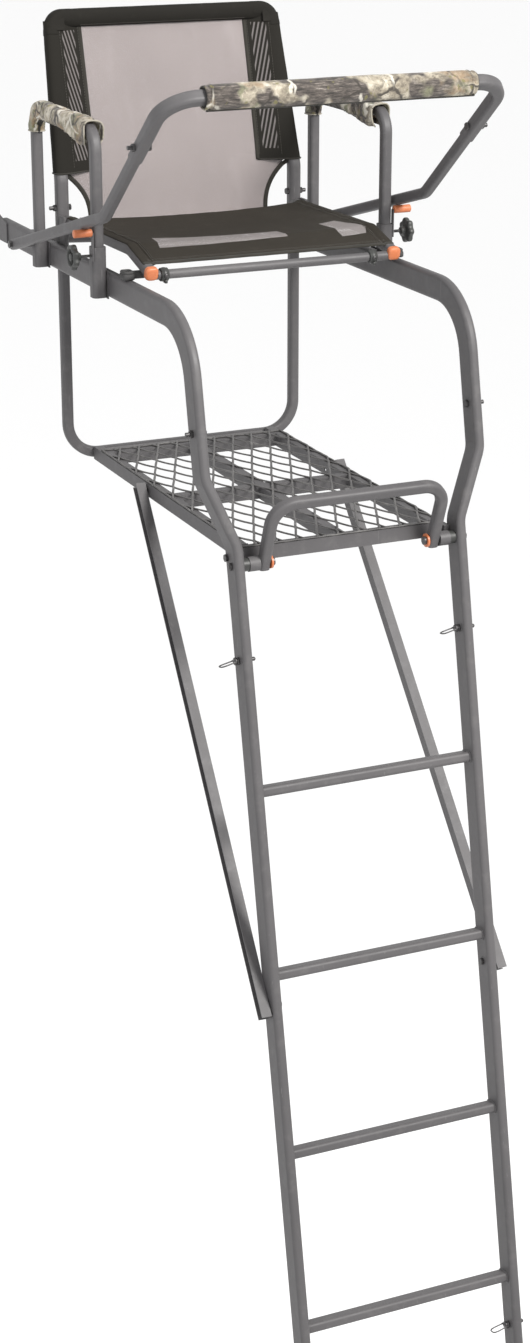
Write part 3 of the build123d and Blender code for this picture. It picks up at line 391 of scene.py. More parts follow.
def inside_outline(s, corners):
    """One inside a convex outline on the seat, given clockwise from above, else zero."""
    inside = 1.0
    for index, (x_0, y_0) in enumerate(corners):
        x_1, y_1 = corners[(index + 1) % len(corners)]
        inward = Vector((y_1 - y_0, x_0 - x_1, 0.0)).normalized()
        dot = s.node("VectorMath", operation="DOT_PRODUCT")
        s.put(dot.inputs[0], s.coord)
        s.put(dot.inputs[1], inward)
        edge = s.math("GREATER_THAN", dot.outputs["Value"], inward.dot(at(x_0, y_0, 0.0)))
        inside = s.math("MULTIPLY", edge, inside)
    return inside


def seat_mesh():
    """Dark coated mesh with two lighter see-through windows."""
    s = Shade("seat_mesh")
    x, y, z = s.split()
    crossing, height = weave(s, x, y, 0.0013)
    window = s.math("MAXIMUM", inside_outline(s, LEFT_WINDOW), inside_outline(s, RIGHT_WINDOW))
    # the third colour is painted shade between the threads
    dark = dark_cloth(
        s, height, (0.028, 0.0245, 0.0198), (0.037, 0.0325, 0.0262), (0.014, 0.012, 0.010),
        rubbed=(0.060, 0.053, 0.044),
    )
    base = s.mix(window, dark, (0.235, 0.215, 0.210))
    alpha = see_through(s, crossing, 0.20, window)
    normal = s.bump(height, 0.5, 0.0004)
    return s.finish(Base_Color=base, Roughness=0.8, Normal=normal, Alpha=alpha, Specular_IOR_Level=0.10)


def pocket_mesh():
    """Dark mesh with a window of slanted, lighter, see-through stripes on each side."""
    s = Shade("pocket_mesh")
    x, y, z = s.split()
    crossing, height = weave(s, x, z, 0.0013)
    # the third colour is painted shade between the threads
    dark = dark_cloth(
        s, height, (0.013, 0.012, 0.010), (0.021, 0.0195, 0.0165), (0.007, 0.006, 0.005)
    )
    out = s.math("ABSOLUTE", x)
    slant, stripe_pitch = 0.27, 0.0082
    wave = s.math("MULTIPLY", s.math("SUBTRACT", out, s.math("MULTIPLY", z, slant)), 2 * PI / stripe_pitch)
    wave = s.math("MULTIPLY_ADD", s.math("SINE", wave), 2.2, -0.2)
    stripe = s.math("SMOOTH_MIN", wave, 1.0, 0.3, clamp=True)
    for run, low, high in (
        (out, 0.1955, 0.2260), (z, at(0, 0, STRIPES_LOW).z, at(0, 0, STRIPES_HIGH).z),
    ):
        stripe = s.math("MULTIPLY", stripe, s.math("GREATER_THAN", run, low))
        stripe = s.math("MULTIPLY", stripe, s.math("LESS_THAN", run, high))
    base = s.mix(stripe, dark, (0.16, 0.146, 0.143))
    alpha = see_through(s, crossing, 0.22, stripe)
    normal = s.bump(height, 0.5, 0.0004)
    return s.finish(Base_Color=base, Roughness=0.8, Normal=normal, Alpha=alpha, Specular_IOR_Level=0.10)


def webbing():
    """Woven black binding and hems."""
    s = Shade("webbing")
    x, y, z = s.split()
    crossing, height = weave(s, s.math("ADD", x, y), z, 0.0016)
    base = s.mix(s.noise(26.0, 3.0), (0.018, 0.017, 0.014), (0.040, 0.037, 0.031))
    normal = s.bump(height, 0.7, 0.0005)
    return s.finish(
        Base_Color=base, Roughness=0.8, Normal=normal, Sheen_Weight=0.08, Specular_IOR_Level=0.15
    )


def thread():
    s = Shade("thread")
    inputs = {"Vector": s.coord, "Scale": 900.0}
    twist = s.node("TexWave", inputs, wave_type="BANDS").outputs["Fac"]
    # painted shade and highlight: darker in the twist's grooves, lighter on its crests, following the bump's
    # wave
    base = s.mix(twist, (0.045, 0.042, 0.036), (0.11, 0.10, 0.088))
    return s.finish(Base_Color=base, Roughness=0.7, Normal=s.bump(twist, 0.6, 0.0003))


def camo():
    """Generic woodland print: pale ground, bark patches, twigs and leaves."""
    s = Shade("camo")
    warp = s.node("TexNoise", {"Vector": s.coord, "Scale": 16.0, "Detail": 4.0}).outputs["Color"]
    shift = s.node("VectorMath", {0: warp, "Scale": 0.05}, operation="SCALE")
    bent = s.node("VectorMath", {0: s.coord, 1: shift.outputs[0]}, operation="ADD").outputs[0]

    def patch(scale, place, low, high, strength, detail=3.0):
        """Blobs of one layer, from the noise at a place of its own."""
        return s.fade(s.noise(scale, detail, 0.6, vector=s.mapped(location=place)), low, high, 0.0, strength)

    def cells(scale, feature, edge, strength):
        """Cell walls or cell middles of a warped pattern."""
        inputs = {"Vector": bent, "Scale": scale, "Randomness": 1.0}
        made = s.node("TexVoronoi", inputs, feature=feature)
        return s.fade(made.outputs["Distance"], *edge, strength, 0.0)

    def both(first, second):
        return s.mix(1.0, first, second, "MULTIPLY")

    ground = s.ramp(s.noise(42.0, 5.0, 0.65, vector=bent), [
        (0.33, (0.105, 0.088, 0.066)), (0.46, (0.245, 0.212, 0.160)),
        (0.56, (0.39, 0.35, 0.275)), (0.68, (0.55, 0.51, 0.43)),
    ])
    ground = s.mix(patch(21.0, (3.1, 0.4, 1.7), 0.52, 0.59, 0.72), ground, (0.115, 0.125, 0.066))
    ground = s.mix(patch(17.0, (7.7, 2.9, 5.3), 0.55, 0.62, 0.68), ground, (0.235, 0.155, 0.085))
    grain = s.mapped(scale=(46.0, 260.0, 260.0), rotation=(0.3, 0.5, 0.55))
    bark = s.ramp(s.noise(1.0, 6.0, 0.72, vector=grain), [
        (0.36, (0.014, 0.012, 0.010)), (0.47, (0.050, 0.041, 0.035)),
        (0.57, (0.105, 0.088, 0.076)), (0.70, (0.27, 0.24, 0.21)),
    ])
    colour = s.mix(patch(9.0, (1.14, 8.1, 2.2), 0.49, 0.535, 1.0), ground, bark)
    speck = s.fade(s.noise(150.0, 4.0, 0.7), 0.56, 0.66, 0.0, 0.6)
    colour = s.mix(speck, colour, (0.045, 0.038, 0.030))
    twigs = both(
        cells(24.0, "DISTANCE_TO_EDGE", (0.030, 0.075), 0.9), patch(15.0, (4.4, 1.2, 9.0), 0.47, 0.54, 1.0, 2.0)
    )
    colour = s.mix(twigs, colour, (0.026, 0.021, 0.016))
    pale_twigs = both(
        cells(10.0, "DISTANCE_TO_EDGE", (0.014, 0.034), 0.9), patch(12.0, (6.7, 5.2, 0.9), 0.50, 0.55, 1.0, 2.0)
    )
    colour = s.mix(pale_twigs, colour, (0.56, 0.53, 0.46))
    leaves = both(
        cells(70.0, "F1", (0.24, 0.34), 0.8), patch(20.0, (2.2, 3.3, 4.4), 0.53, 0.58, 1.0, 2.0)
    )
    colour = s.mix(leaves, colour, (0.150, 0.135, 0.050))
    cloth = s.noise(1500.0, 2.0)
    # painted shade: darker in the hollows of the fine weave, whose noise is also the bump
    colour = s.mix(s.fade(cloth, 0.35, 0.6, 0.22, 0.0), colour, (0.05, 0.045, 0.04))
    normal = s.bump(cloth, 0.4, 0.0004, s.bump(s.noise(95.0, 3.0), 0.45, 0.002))
    return s.finish(
        Base_Color=colour, Roughness=0.86, Normal=normal, Sheen_Weight=0.12, Sheen_Roughness=0.5
    )


POWDER = powder_coat()
GRATE = grate_coat()
ZINC = moulded(
    "dark_zinc", (160.0, 4.0), (0.035, 0.035, 0.038), (0.105, 0.10, 0.098),
    (1500.0, 3.0), (0.2, 0.0004), (0.3, 0.7, 0.28, 0.5), Metallic=0.7,
)
PLASTIC = moulded(
    "black_plastic", (40.0, 4.0), (0.016, 0.017, 0.016), (0.040, 0.041, 0.038),
    (1900.0, 3.0), (0.35, 0.0004), (0.3, 0.72, 0.36, 0.56),
)
RUBBER = moulded(
    "black_rubber", (30.0, 4.0), (0.020, 0.020, 0.021), (0.052, 0.050, 0.048),
    (1300.0, 4.0), (0.45, 0.0005), (0.3, 0.72, 0.66, 0.86),
)
TRIM = moulded(
    "trim", (60.0, 3.0), (0.17, 0.155, 0.12), (0.40, 0.37, 0.31),
    (1300.0, 2.0), (0.5, 0.0004), 0.85,
)
ORANGE = orange_plastic()
BACK_MESH = back_mesh()
SEAT_MESH = seat_mesh()
HEM_MESH = hem_mesh()
POCKET_MESH = pocket_mesh()
WEBBING = webbing()
THREAD = thread()
CAMO = camo()


# ---------------------------------------------------------------- mesh helpers
def new_piece(name, verts, faces, material, body, replaces=()):
    """A smooth mesh piece that rides on a body and may stand for some CAD nodes."""
    mesh = bpy.data.meshes.new(name)
    mesh.from_pydata([tuple(v) for v in verts], [], faces)
    mesh.update()
    mesh.materials.append(material)
    for polygon in mesh.polygons:
        polygon.use_smooth = True
    made = bpy.data.objects.new(name, mesh)
    bpy.context.scene.collection.objects.link(made)
    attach(made, body)
    if replaces:
        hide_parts(*replaces)
    return made


def rows_to_faces(rows, columns, wrap_rows=False, wrap_columns=False):
    """Quads over a grid of points stored row by row."""
    faces = []
    for row in range(rows if wrap_rows else rows - 1):
        for column in range(columns if wrap_columns else columns - 1):
            after = (row + 1) % rows
            beside = (column + 1) % columns
            faces.append((
                row * columns + column, row * columns + beside,
                after * columns + beside, after * columns + column,
            ))
    return faces


def end_faces(rows, columns):
    """One face over the first and one over the last row of a grid of rings."""
    last = (rows - 1) * columns
    return [tuple(range(columns)), tuple(reversed(range(last, last + columns)))]


class Parts:
    """Collects the vertices and faces of several small shapes for one piece."""

    def __init__(self):
        self.verts = []
        self.faces = []

    def add(self, verts, faces):
        base = len(self.verts)
        self.verts += [Vector(v) for v in verts]
        self.faces += [tuple(base + index for index in face) for face in faces]

    def tube(self, points, radius, sides=8, closed=False, flat=1.0, up=None, wobble=0.0, power=1.0):
        """Round, flattened or squared tube along points, capped unless closed."""
        count = len(points)
        verts = []
        for index, point in enumerate(points):
            if closed:
                ahead = points[(index + 1) % count] - points[index - 1]
            else:
                ahead = points[min(index + 1, count - 1)] - points[max(index - 1, 0)]
            ahead = ahead.normalized()
            guide = up or (Z_AXIS if abs(ahead.z) < 0.9 else X_AXIS)
            across = ahead.cross(guide).normalized()
            over = across.cross(ahead).normalized()
            size = radius * (1 + wobble * noise.noise(point * 400.0))
            for turn in turns(sides):
                a, b = squared(turn, power)
                verts.append(point + across * a * size + over * b * size * flat)
        faces = rows_to_faces(count, sides, wrap_rows=closed, wrap_columns=True)
        if not closed:
            faces += [tuple(reversed(face)) for face in end_faces(count, sides)]
        self.add(verts, faces)

    def lathe(self, centre, axis, profile, sides=24, lobes=0, depth=0.0):
        """Surface turned about an axis, perhaps lobed; profile is (along, radius) in metres."""
        guide = Z_AXIS if abs(axis.z) < 0.9 else X_AXIS
        first = axis.cross(guide).normalized()
        second = axis.cross(first).normalized()
        verts = []
        for along, radius in profile:
            for turn in turns(sides):
                size = radius
                if lobes:
                    size += depth * math.cos(lobes * turn) * smooth_step(0.014, 0.022, radius)
                verts.append(centre + axis * along + (first * math.cos(turn) + second * math.sin(turn)) * size)
        rows = len(profile)
        self.add(verts, rows_to_faces(rows, sides, wrap_columns=True) + end_faces(rows, sides))

    def box(self, low, high, bevel):
        """Box with rounded edges."""
        shape = bmesh.new()
        bmesh.ops.create_cube(shape, size=1.0)
        middle, size = (low + high) / 2, high - low
        for vert in shape.verts:
            vert.co = Vector([middle[k] + vert.co[k] * abs(size[k]) for k in range(3)])
        bmesh.ops.bevel(shape, geom=shape.edges[:], offset=bevel, segments=2, affect="EDGES", profile=0.5)
        shape.verts.index_update()
        self.add([v.co.copy() for v in shape.verts], [tuple(v.index for v in f.verts) for f in shape.faces])
        shape.free()

    def piece(self, name, material, body, replaces=(), slot=None, outward=True):
        """The collected shapes as one piece, with outward normals if its shapes are closed."""
        made = new_piece(name, self.verts, self.faces, material, body, replaces)
        if outward:
            recalc(made)
        return made


def recalc(obj):
    """Outward normals on a closed mesh."""
    shape = bmesh.new()
    shape.from_mesh(obj.data)
    bmesh.ops.recalc_face_normals(shape, faces=shape.faces[:])
    shape.to_mesh(obj.data)
    shape.free()


def face_out(obj, inside):
    """Turns an open sheet's faces so that they point away from a place inside it."""
    score = 0.0
    for polygon in obj.data.polygons:
        score += (polygon.center - inside).normalized().dot(polygon.normal) * polygon.area
    if score < 0:
        obj.data.flip_normals()


def thicken(obj, thickness, offset):
    solid = obj.modifiers.new("solidify", "SOLIDIFY")
    solid.thickness = thickness
    solid.offset = offset


def subdivide(obj):
    made = obj.modifiers.new("subsurf", "SUBSURF")
    made.levels = made.render_levels = 1


def dashes(parts, points, length, gap, radius):
    """Short raised threads along a run of points."""
    reach = [0.0]
    for start, end in zip(points, points[1:]):
        reach.append(reach[-1] + (end - start).length)

    def place(distance):
        index = 0
        while index < len(points) - 2 and reach[index + 1] < distance:
            index += 1
        span = reach[index + 1] - reach[index]
        return points[index].lerp(points[index + 1], (distance - reach[index]) / span)

    first = gap
    while first + length <= reach[-1]:
        parts.tube([place(first), place(first + length / 2), place(first + length)], radius, sides=5)
        first += length + gap


def simulate_cloth(obj, pinned, pressure, slack, cap):
    """Puffs and creases a fabric mesh, keeps it within cap of its first shape, applies the result.

    pinned(point) is the pin weight of a vertex, slack the spare cloth as a share.
    """
    scene = bpy.context.scene
    start = [v.co.copy() for v in obj.data.vertices]
    group = obj.vertex_groups.new(name="pins")
    for vert in obj.data.vertices:
        group.add([vert.index], pinned(vert.co), "REPLACE")
    cloth = obj.modifiers.new("cloth", "CLOTH")
    settings = cloth.settings
    settings.quality = 6
    settings.mass = 0.25
    settings.tension_stiffness = 18
    settings.compression_stiffness = 14
    settings.shear_stiffness = 6
    settings.bending_stiffness = 0.35
    settings.air_damping = 3.0
    settings.use_pressure = True
    settings.uniform_pressure_force = pressure
    settings.shrink_min = -slack
    settings.shrink_max = -slack
    settings.vertex_group_mass = "pins"
    settings.pin_stiffness = 3.0
    settings.effector_weights.gravity = 0.0
    cloth.collision_settings.use_collision = False
    scene.frame_start = 1
    scene.frame_end = 18
    for step in range(scene.frame_start, scene.frame_end + 1):
        scene.frame_set(step)
    graph = bpy.context.evaluated_depsgraph_get()
    moved = [v.co.copy() for v in obj.evaluated_get(graph).data.vertices]
    obj.modifiers.remove(cloth)
    for vert, before, after in zip(obj.data.vertices, start, moved):
        shift = after - before
        if shift.length > cap:
            shift *= cap / shift.length
        vert.co = before + shift
    obj.vertex_groups.clear()
    scene.frame_set(1)


# ---------------------------------------------------------------- CAD nodes that stay
FINISHES = {
    "back_bolts": ZINC, "footrest_bolts": ZINC, "frame_bolts": ZINC,
    "shooting_bolts": ZINC, "shooting_pivots": ZINC, "footrest_outer_washers": PLASTIC,
    "ladder_feet": RUBBER, "footrest_inner_washers": ORANGE,
}


def paint_nodes():
    """Procedural finishes on the CAD nodes: powder coat unless another is named."""
    for name, node in frame["nodes"].items():
        material = FINISHES.get(name, POWDER)
        if not node.data.materials:
            node.data.materials.append(material)
        for slot in node.material_slots:
            slot.material = material


# ---------------------------------------------------------------- platform grate
def make_grate():
    """Expanded metal: zigzag strands that meet their neighbours at flat knuckles."""
    half_x, front, rear = 205.0, 17.0, 762.0
    cell_width, cell_length = 43.0, 100.0
    wire = 0.0024
    swing = cell_width / 4 - 0.9
    sharpness = 0.965
    parts = Parts()
    strands = int(2 * half_x / (cell_width / 2)) + 1
    first_x = -(strands - 1) * cell_width / 4
    for index in range(strands):
        middle = first_x + index * cell_width / 2
        side = 1 if index % 2 else -1
        points = []
        for share in shares(int((rear - front) / 5.0) + 1):
            y = front + (rear - front) * share
            turn = 2 * PI * (y - front) / cell_length
            wave = math.asin(sharpness * math.sin(turn)) / math.asin(sharpness)
            x = middle + side * swing * wave
            drift = noise.noise(Vector((x * 0.01, y * 0.012, index * 0.7)))
            z = 0.9 + 0.9 * side * math.cos(turn) + drift * 0.8
            points.append(at(max(-half_x, min(half_x, x + drift)), y, z))
        parts.tube(points, wire, sides=6, flat=0.72, wobble=0.12)
    for y in (front + 1.0, rear - 1.0):
        points = [at(-half_x + 2 * half_x * k / 60, y, 0.6 + 0.4 * math.sin(k * 1.3)) for k in range(61)]
        parts.tube(points, wire, sides=6, flat=0.7)
    for side, _ in SIDES:
        points = [
            at(side * half_x, front + (rear - front) * k / 90, 0.6 + 0.4 * math.sin(k)) for k in range(91)
        ]
        parts.tube(points, wire, sides=6, flat=0.7)
    parts.piece(
        "grate", GRATE, "stand", replaces=("platform_grate",), slot="grey_powder_coat", outward=False
    )


# ---------------------------------------------------------------- welds
def make_welds():
    """Fillet welds where rungs meet rails and where beams meet the frame."""
    for section in range(SECTIONS):
        parts = Parts()
        for step in range(RUNGS):
            rung_up = FIRST_RUNG_UP - RUNG_PITCH * (section * RUNGS + step)
            for side, _ in SIDES:
                centre = on_rail(side * 219.6, rung_up, 4.0)
                ring = []
                for turn in turns(44):
                    a, b = squared(turn, 0.4)
                    ring.append(centre + OFF_RAIL * a * 0.0152 + UP_RAIL * b * 0.0102)
                parts.tube(ring, 0.0019, sides=6, closed=True, wobble=0.35)
        parts.piece(f"rung_welds_{section + 1}", POWDER, "stand", slot="grey_powder_coat")
    parts = Parts()

    def bead(points, radius):
        parts.tube(points, radius, sides=6, wobble=0.4)

    for side, _ in SIDES:
        for y in (385.0, 405.0, 745.0, 765.0):
            bead([at(side * 188.2, y, -1.6 - 26.0 * share) for share in shares(13)], 0.0017)
        bead([at(side * (188.0 + 20.0 * share), 34.0, -0.6) for share in shares(11)], 0.0015)
        for z in (-8.0, -32.0):
            bead([at(side * 219.2, 6.0 + 29.0 * share, z) for share in shares(13)], 0.0017)
        for z in (386.5, 437.5):
            for y in (SOCKET_Y, 820.0):
                bead([at(side * 292.4, y - 14.0 + 42.0 * share, z) for share in shares(17)], 0.0016)
    parts.piece("frame_welds", POWDER, "stand", slot="grey_powder_coat")


# ---------------------------------------------------------------- knobs, pegs, caps, rests, clamps
def make_knob(side, side_name):
    """Lobed clamp knob with a ribbed dish on its face, a hub, and a threaded stud."""
    parts = Parts()
    centre = at(side * 351.0, SOCKET_Y, KNOB_Z)
    axis = X_AXIS * side
    lobes = 7
    profile = [
        (-0.0078, 0.0001), (-0.0080, 0.0066), (-0.0072, 0.0080), (-0.0010, 0.0090), (0.0004, 0.0120),
        (0.0010, 0.0190), (0.0022, 0.0226), (0.0046, 0.0238), (0.0096, 0.0238), (0.0122, 0.0228),
        (0.0134, 0.0206), (0.0136, 0.0178), (0.0122, 0.0158), (0.0074, 0.0150), (0.0062, 0.0130),
        (0.0062, 0.0098), (0.0076, 0.0082), (0.0126, 0.0076), (0.0134, 0.0066), (0.0136, 0.0001),
    ]
    parts.lathe(centre, axis, profile, sides=12 * lobes, lobes=lobes, depth=0.0020)
    for turn in turns(lobes):
        turn += PI / lobes
        out = Vector((0, math.cos(turn), math.sin(turn)))
        rib = [centre + axis * 0.0088 + out * (0.0078 + 0.0080 * share) for share in shares(4)]
        parts.tube(rib, 0.0013, sides=6, up=axis)
    knob = parts.piece(
        f"knob_{side_name}", PLASTIC, f"knob_{side_name}",
        replaces=(f"clamp_knob_{side_name}",), slot="black_plastic",
    )
    subdivide(knob)
    stud = Parts()
    stud_from, stud_to = 319.8, 344.0
    crest, root = 0.0030, 0.0025
    threads = [
        ((stud_to - stud_from) * share * MM, crest if k % 4 < 2 else root)
        for k, share in enumerate(shares(120))
    ]
    stud.lathe(at(side * stud_from, SOCKET_Y, KNOB_Z), axis, threads, sides=14)
    stud.piece(f"knob_stud_{side_name}", ZINC, f"knob_{side_name}", slot="zinc_fasteners")


def make_pegs():
    """Ribbed plastic pegs under the shooting rail's arms."""
    low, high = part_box("rest_pegs")
    length = 0.0371
    profile = [(0.0, 0.0001), (0.0, 0.0064), (0.0010, 0.0076)]
    for rib in range(9):
        place = 0.004 + rib * 0.0036
        profile += [(place, 0.0079), (place + 0.0010, 0.0074), (place + 0.0018, 0.0079)]
    profile += [(length - 0.0012, 0.0078), (length - 0.0002, 0.0064), (length, 0.0001)]
    parts = Parts()
    for side, _ in SIDES:
        inner = Vector((side * 322.8 * MM, (low.y + high.y) / 2, (low.z + high.z) / 2))
        parts.lathe(inner, X_AXIS * side, profile, sides=32)
    parts.piece("pegs", ORANGE, "stand", replaces=("rest_pegs",), slot="orange_plastic")


def make_end_caps():
    """Domed plastic caps with a soft square outline and a parting line."""
    parts = Parts()
    dip = math.atan2(SEAT_FRONT_DROP, SEAT_FRONT_RUN)
    forward = Vector((0, -math.cos(dip), -math.sin(dip)))
    over = Vector((0, -math.sin(dip), math.cos(dip)))
    rings = [
        (-0.0002, 0.0108), (-0.0002, 0.0122), (0.0008, 0.0129), (0.0030, 0.0130),
        (0.0034, 0.0126), (0.0038, 0.0130), (0.0078, 0.0130), (0.0100, 0.0124),
        (0.0114, 0.0108), (0.0121, 0.0078), (0.0124, 0.0038), (0.0125, 0.0004),
    ]
    sides = 40
    for side, _ in SIDES:
        centre = at(side * SEAT_TUBE_X, SEAT_FRONT_Y, SEAT_TUBE_Z - SEAT_FRONT_DROP) + forward * 0.0004
        verts = []
        for along, radius in rings:
            for turn in turns(sides):
                a, b = squared(turn, 0.62)
                verts.append(centre + forward * along + X_AXIS * a * radius + over * b * radius)
        rows = len(rings)
        parts.add(verts, rows_to_faces(rows, sides, wrap_columns=True) + end_faces(rows, sides))
    parts.piece("end_caps", ORANGE, "seat", replaces=("seat_end_caps",), slot="orange_plastic")


def make_rests():
    """Rubber bumpers on the seat rails: a soft pad with a raised lip, arm and screw."""
    rubber, metal = Parts(), Parts()
    pad_x, pad_y = 285.0, 382.0

    def block(side, x_in, x_out, y_low, y_high, z_low, z_high, bevel):
        low_x, high_x = sorted((side * x_in, side * x_out))
        rubber.box(at(low_x, y_low, z_low), at(high_x, y_high, z_high), bevel)

    for side, _ in SIDES:
        block(side, 273.2, 296.8, 367.2, 396.8, 437.3, 451.0, 0.0042)
        lip = []
        for turn in turns(40):
            a, b = squared(turn, 0.45)
            lip.append(at(side * pad_x + a * 8.4, pad_y + b * 11.4, 452.0))
        rubber.tube(lip, 0.0034, sides=10, closed=True)
        block(side, 243.5, 276.0, 371.4, 390.6, 439.3, 453.0, 0.0036)
        screw = [(0.0, 0.0048), (0.0016, 0.0046), (0.0024, 0.0034), (0.0026, 0.0003)]
        metal.lathe(at(side * pad_x, pad_y, 450.4), Z_AXIS, screw, sides=20)
    rubber.piece("rests", RUBBER, "stand", replaces=("seat_rests",), slot="black_rubber")
    metal.piece("rest_screws", ZINC, "stand", slot="zinc_fasteners")


def make_clamps():
    """Plastic knuckle clamps on the crossbar, each with a rib, an ear and two bolts."""
    plastic, metal = Parts(), Parts()
    half_ring = [(0.0024, 0.0136), (0.0032, 0.0129), (0.0068, 0.0128), (0.0078, 0.0118), (0.0078, 0.0094)]
    ring = [(-along, radius) for along, radius in reversed(half_ring)] + half_ring
    sides = 32
    for x in (-228.0, 210.0):
        bar = at(x, SEAT_FRONT_Y, 451.0)
        verts = []
        for along, radius in ring:
            for turn in turns(sides):
                verts.append(bar + Vector((along, math.cos(turn) * radius, math.sin(turn) * radius)))
        plastic.add(verts, rows_to_faces(len(ring), sides, wrap_rows=True, wrap_columns=True))
        for low, high, bevel in (
            ((-0.0088, 0.0115, -0.0062), (0.0088, 0.0218, 0.0058), 0.0020),
            ((-0.0030, -0.0150, -0.0150), (0.0030, -0.0040, -0.0080), 0.0016),
        ):
            plastic.box(bar + Vector(low), bar + Vector(high), bevel)
        front_bolt = [(0.0, 0.0040), (0.0016, 0.0040), (0.0022, 0.0032), (0.0024, 0.0003)]
        metal.lathe(bar - Y_AXIS * 0.0136, -Y_AXIS, front_bolt, sides=6)
        ear_bolt = [(0.0, 0.0036), (0.0020, 0.0036), (0.0026, 0.0028), (0.0028, 0.0003)]
        metal.lathe(bar + Vector((0.0, 0.0165, 0.0054)), Z_AXIS, ear_bolt, sides=6)
    plastic.piece("clamps", PLASTIC, "seat", replaces=("seat_clamps",), slot="black_plastic")
    metal.piece("clamp_bolts", ZINC, "seat", slot="zinc_fasteners")


# ---------------------------------------------------------------- snap pins
def curve_through(corners, steps):
    """Smooth run of points through corners (a Catmull-Rom curve)."""
    points = []
    for index in range(len(corners) - 1):
        before = corners[max(index - 1, 0)]
        start, end = corners[index], corners[index + 1]
        after = corners[min(index + 2, len(corners) - 1)]
        for step in range(steps):
            t = step / steps
            points.append(0.5 * (
                2 * start + (end - before) * t + (2 * before - 5 * start + 4 * end - after) * t * t
                + (3 * start - before - 3 * end + after) * t ** 3
            ))
    return points + [corners[-1]]


def make_snap_pin(number, side, side_name):
    """Locking pin with a grooved head, a rounded tip and a wire bail."""
    node = f"snap_pin_{number}_{side_name}"
    up = FIRST_SEAM_UP - SECTION_LENGTH * (number - 1) + PIN_ABOVE_SEAM
    parts = Parts()
    profile = [
        (0.0000, 0.0003), (0.0006, 0.0024), (0.0020, 0.0037), (0.0034, 0.0039), (0.0300, 0.0039),
        (0.0339, 0.0039), (0.0340, 0.0060), (0.0346, 0.0073), (0.0360, 0.0075), (0.0368, 0.0066),
        (0.0378, 0.0066), (0.0386, 0.0075), (0.0418, 0.0075), (0.0428, 0.0066), (0.0430, 0.0003),
    ]
    parts.lathe(on_rail(side * RAIL_X + 23.6, up), -X_AXIS, profile, sides=26)
    parts.piece(f"pin_{number}_{side_name}", ZINC, node, replaces=(node,), slot="black_steel")
    hub = on_rail(side * RAIL_X - 18.4, up)
    half = [        # half width, length from the hub, drop
        (0.0090, 0.0, 0.0), (0.0092, 0.006, 0.0012), (0.0096, 0.022, 0.0046), (0.0062, 0.0286, 0.0060),
    ]
    corners = [hub - OFF_RAIL * wide - X_AXIS * out - UP_RAIL * drop for wide, out, drop in half]
    corners += [hub - X_AXIS * 0.0296 - UP_RAIL * 0.0062]
    corners += [hub + OFF_RAIL * wide - X_AXIS * out - UP_RAIL * drop for wide, out, drop in reversed(half)]
    wire = Parts()
    wire.tube(curve_through(corners, 5), 0.0013, sides=10)
    wire.tube([hub + OFF_RAIL * (-0.0108 + 0.0216 * share) for share in shares(7)], 0.0019, sides=12)
    wire.piece(f"pin_bail_{number}_{side_name}", ZINC, node, slot="black_steel")


# ---------------------------------------------------------------- camo padding
def make_rail_sleeve():
    """Padded print sleeve on the shooting rail, gathered at its hemmed ends."""
    body, slot = "shooting_rail", "camo_fabric"
    half, radius = SLEEVE_HALF, SLEEVE_RADIUS
    sides, rings = 52, 132
    verts = []
    for share in shares(rings):
        x = -half + 2 * half * share
        from_end = half - abs(x)
        hem = 1.0 - 0.16 * math.exp(-((from_end - 9.0) / 2.4) ** 2) - 0.10 * smooth_step(5.0, 0.0, from_end)
        for turn in turns(sides):
            place = Vector((x * 0.011, math.cos(turn) * 0.9, math.sin(turn) * 0.9))
            lump = 0.7 * noise.noise(place * 1.4) + 0.35 * noise.noise(place * 3.7)
            pleat = 0.45 * math.sin(turn * 17 + x) * math.exp(-((from_end - 12.0) / 8.0) ** 2)
            size = radius * hem + lump + pleat
            sag = 0.9 * smooth_step(0.4, 1.0, -math.sin(turn))
            verts.append(at(x, SLEEVE_Y + math.cos(turn) * size, SLEEVE_Z + math.sin(turn) * size - sag))
    faces = rows_to_faces(rings, sides, wrap_columns=True)
    sleeve = new_piece("rail_sleeve", verts, faces, CAMO, body, replaces=("shooting_sleeve",))
    recalc(sleeve)
    edge = at(0, 0, 0).x + half * MM

    def pinned(point):
        return 1.0 if abs(point.x) > edge - 0.011 else 0.0

    simulate_cloth(sleeve, pinned, pressure=1.2, slack=0.035, cap=0.0022)
    thicken(sleeve, 0.0035, -1.0)
    subdivide(sleeve)

    def around(x, size, turn, z_shift=0.0):
        return at(x, SLEEVE_Y + math.cos(turn) * size, SLEEVE_Z + math.sin(turn) * size + z_shift)

    cuffs = Parts()
    for side, _ in SIDES:
        verts = []
        cuff_rings = [(266.4, 20.6), (264.6, 18.4), (263.4, 16.2), (263.4, 15.4)]
        for x, size in cuff_rings:
            for turn in turns(36):
                ripple = 0.35 * math.sin(turn * 9 + side)
                verts.append(around(side * (x + ripple * 0.6), size + ripple, turn))
        cuffs.add(verts, rows_to_faces(len(cuff_rings), 36, wrap_columns=True))
    subdivide(cuffs.piece("sleeve_end_cuffs", WEBBING, body, slot=slot, outward=False))
    seam = Parts()
    tilt = 0.35
    run = []
    for k, share in enumerate(shares(140)):
        x = -half + 4.0 + (2 * half - 8.0) * share
        run.append(around(x, radius + 0.3, -PI / 2 - tilt + 0.02 * math.sin(k * 0.21), -0.6))
    seam.tube(run, 0.0042, sides=8, flat=0.28, up=Vector((0, 0.34, 0.94)))
    seam.piece("sleeve_closure", WEBBING, body, slot=slot)
    stitches = Parts()
    for side, _ in SIDES:
        ring = [around(side * (half - 14.5), 23.0, turn) for turn in turns(60)]
        dashes(stitches, ring, 0.0028, 0.0016, 0.00035)
    stitches.piece("sleeve_stitches", THREAD, body, slot=slot)


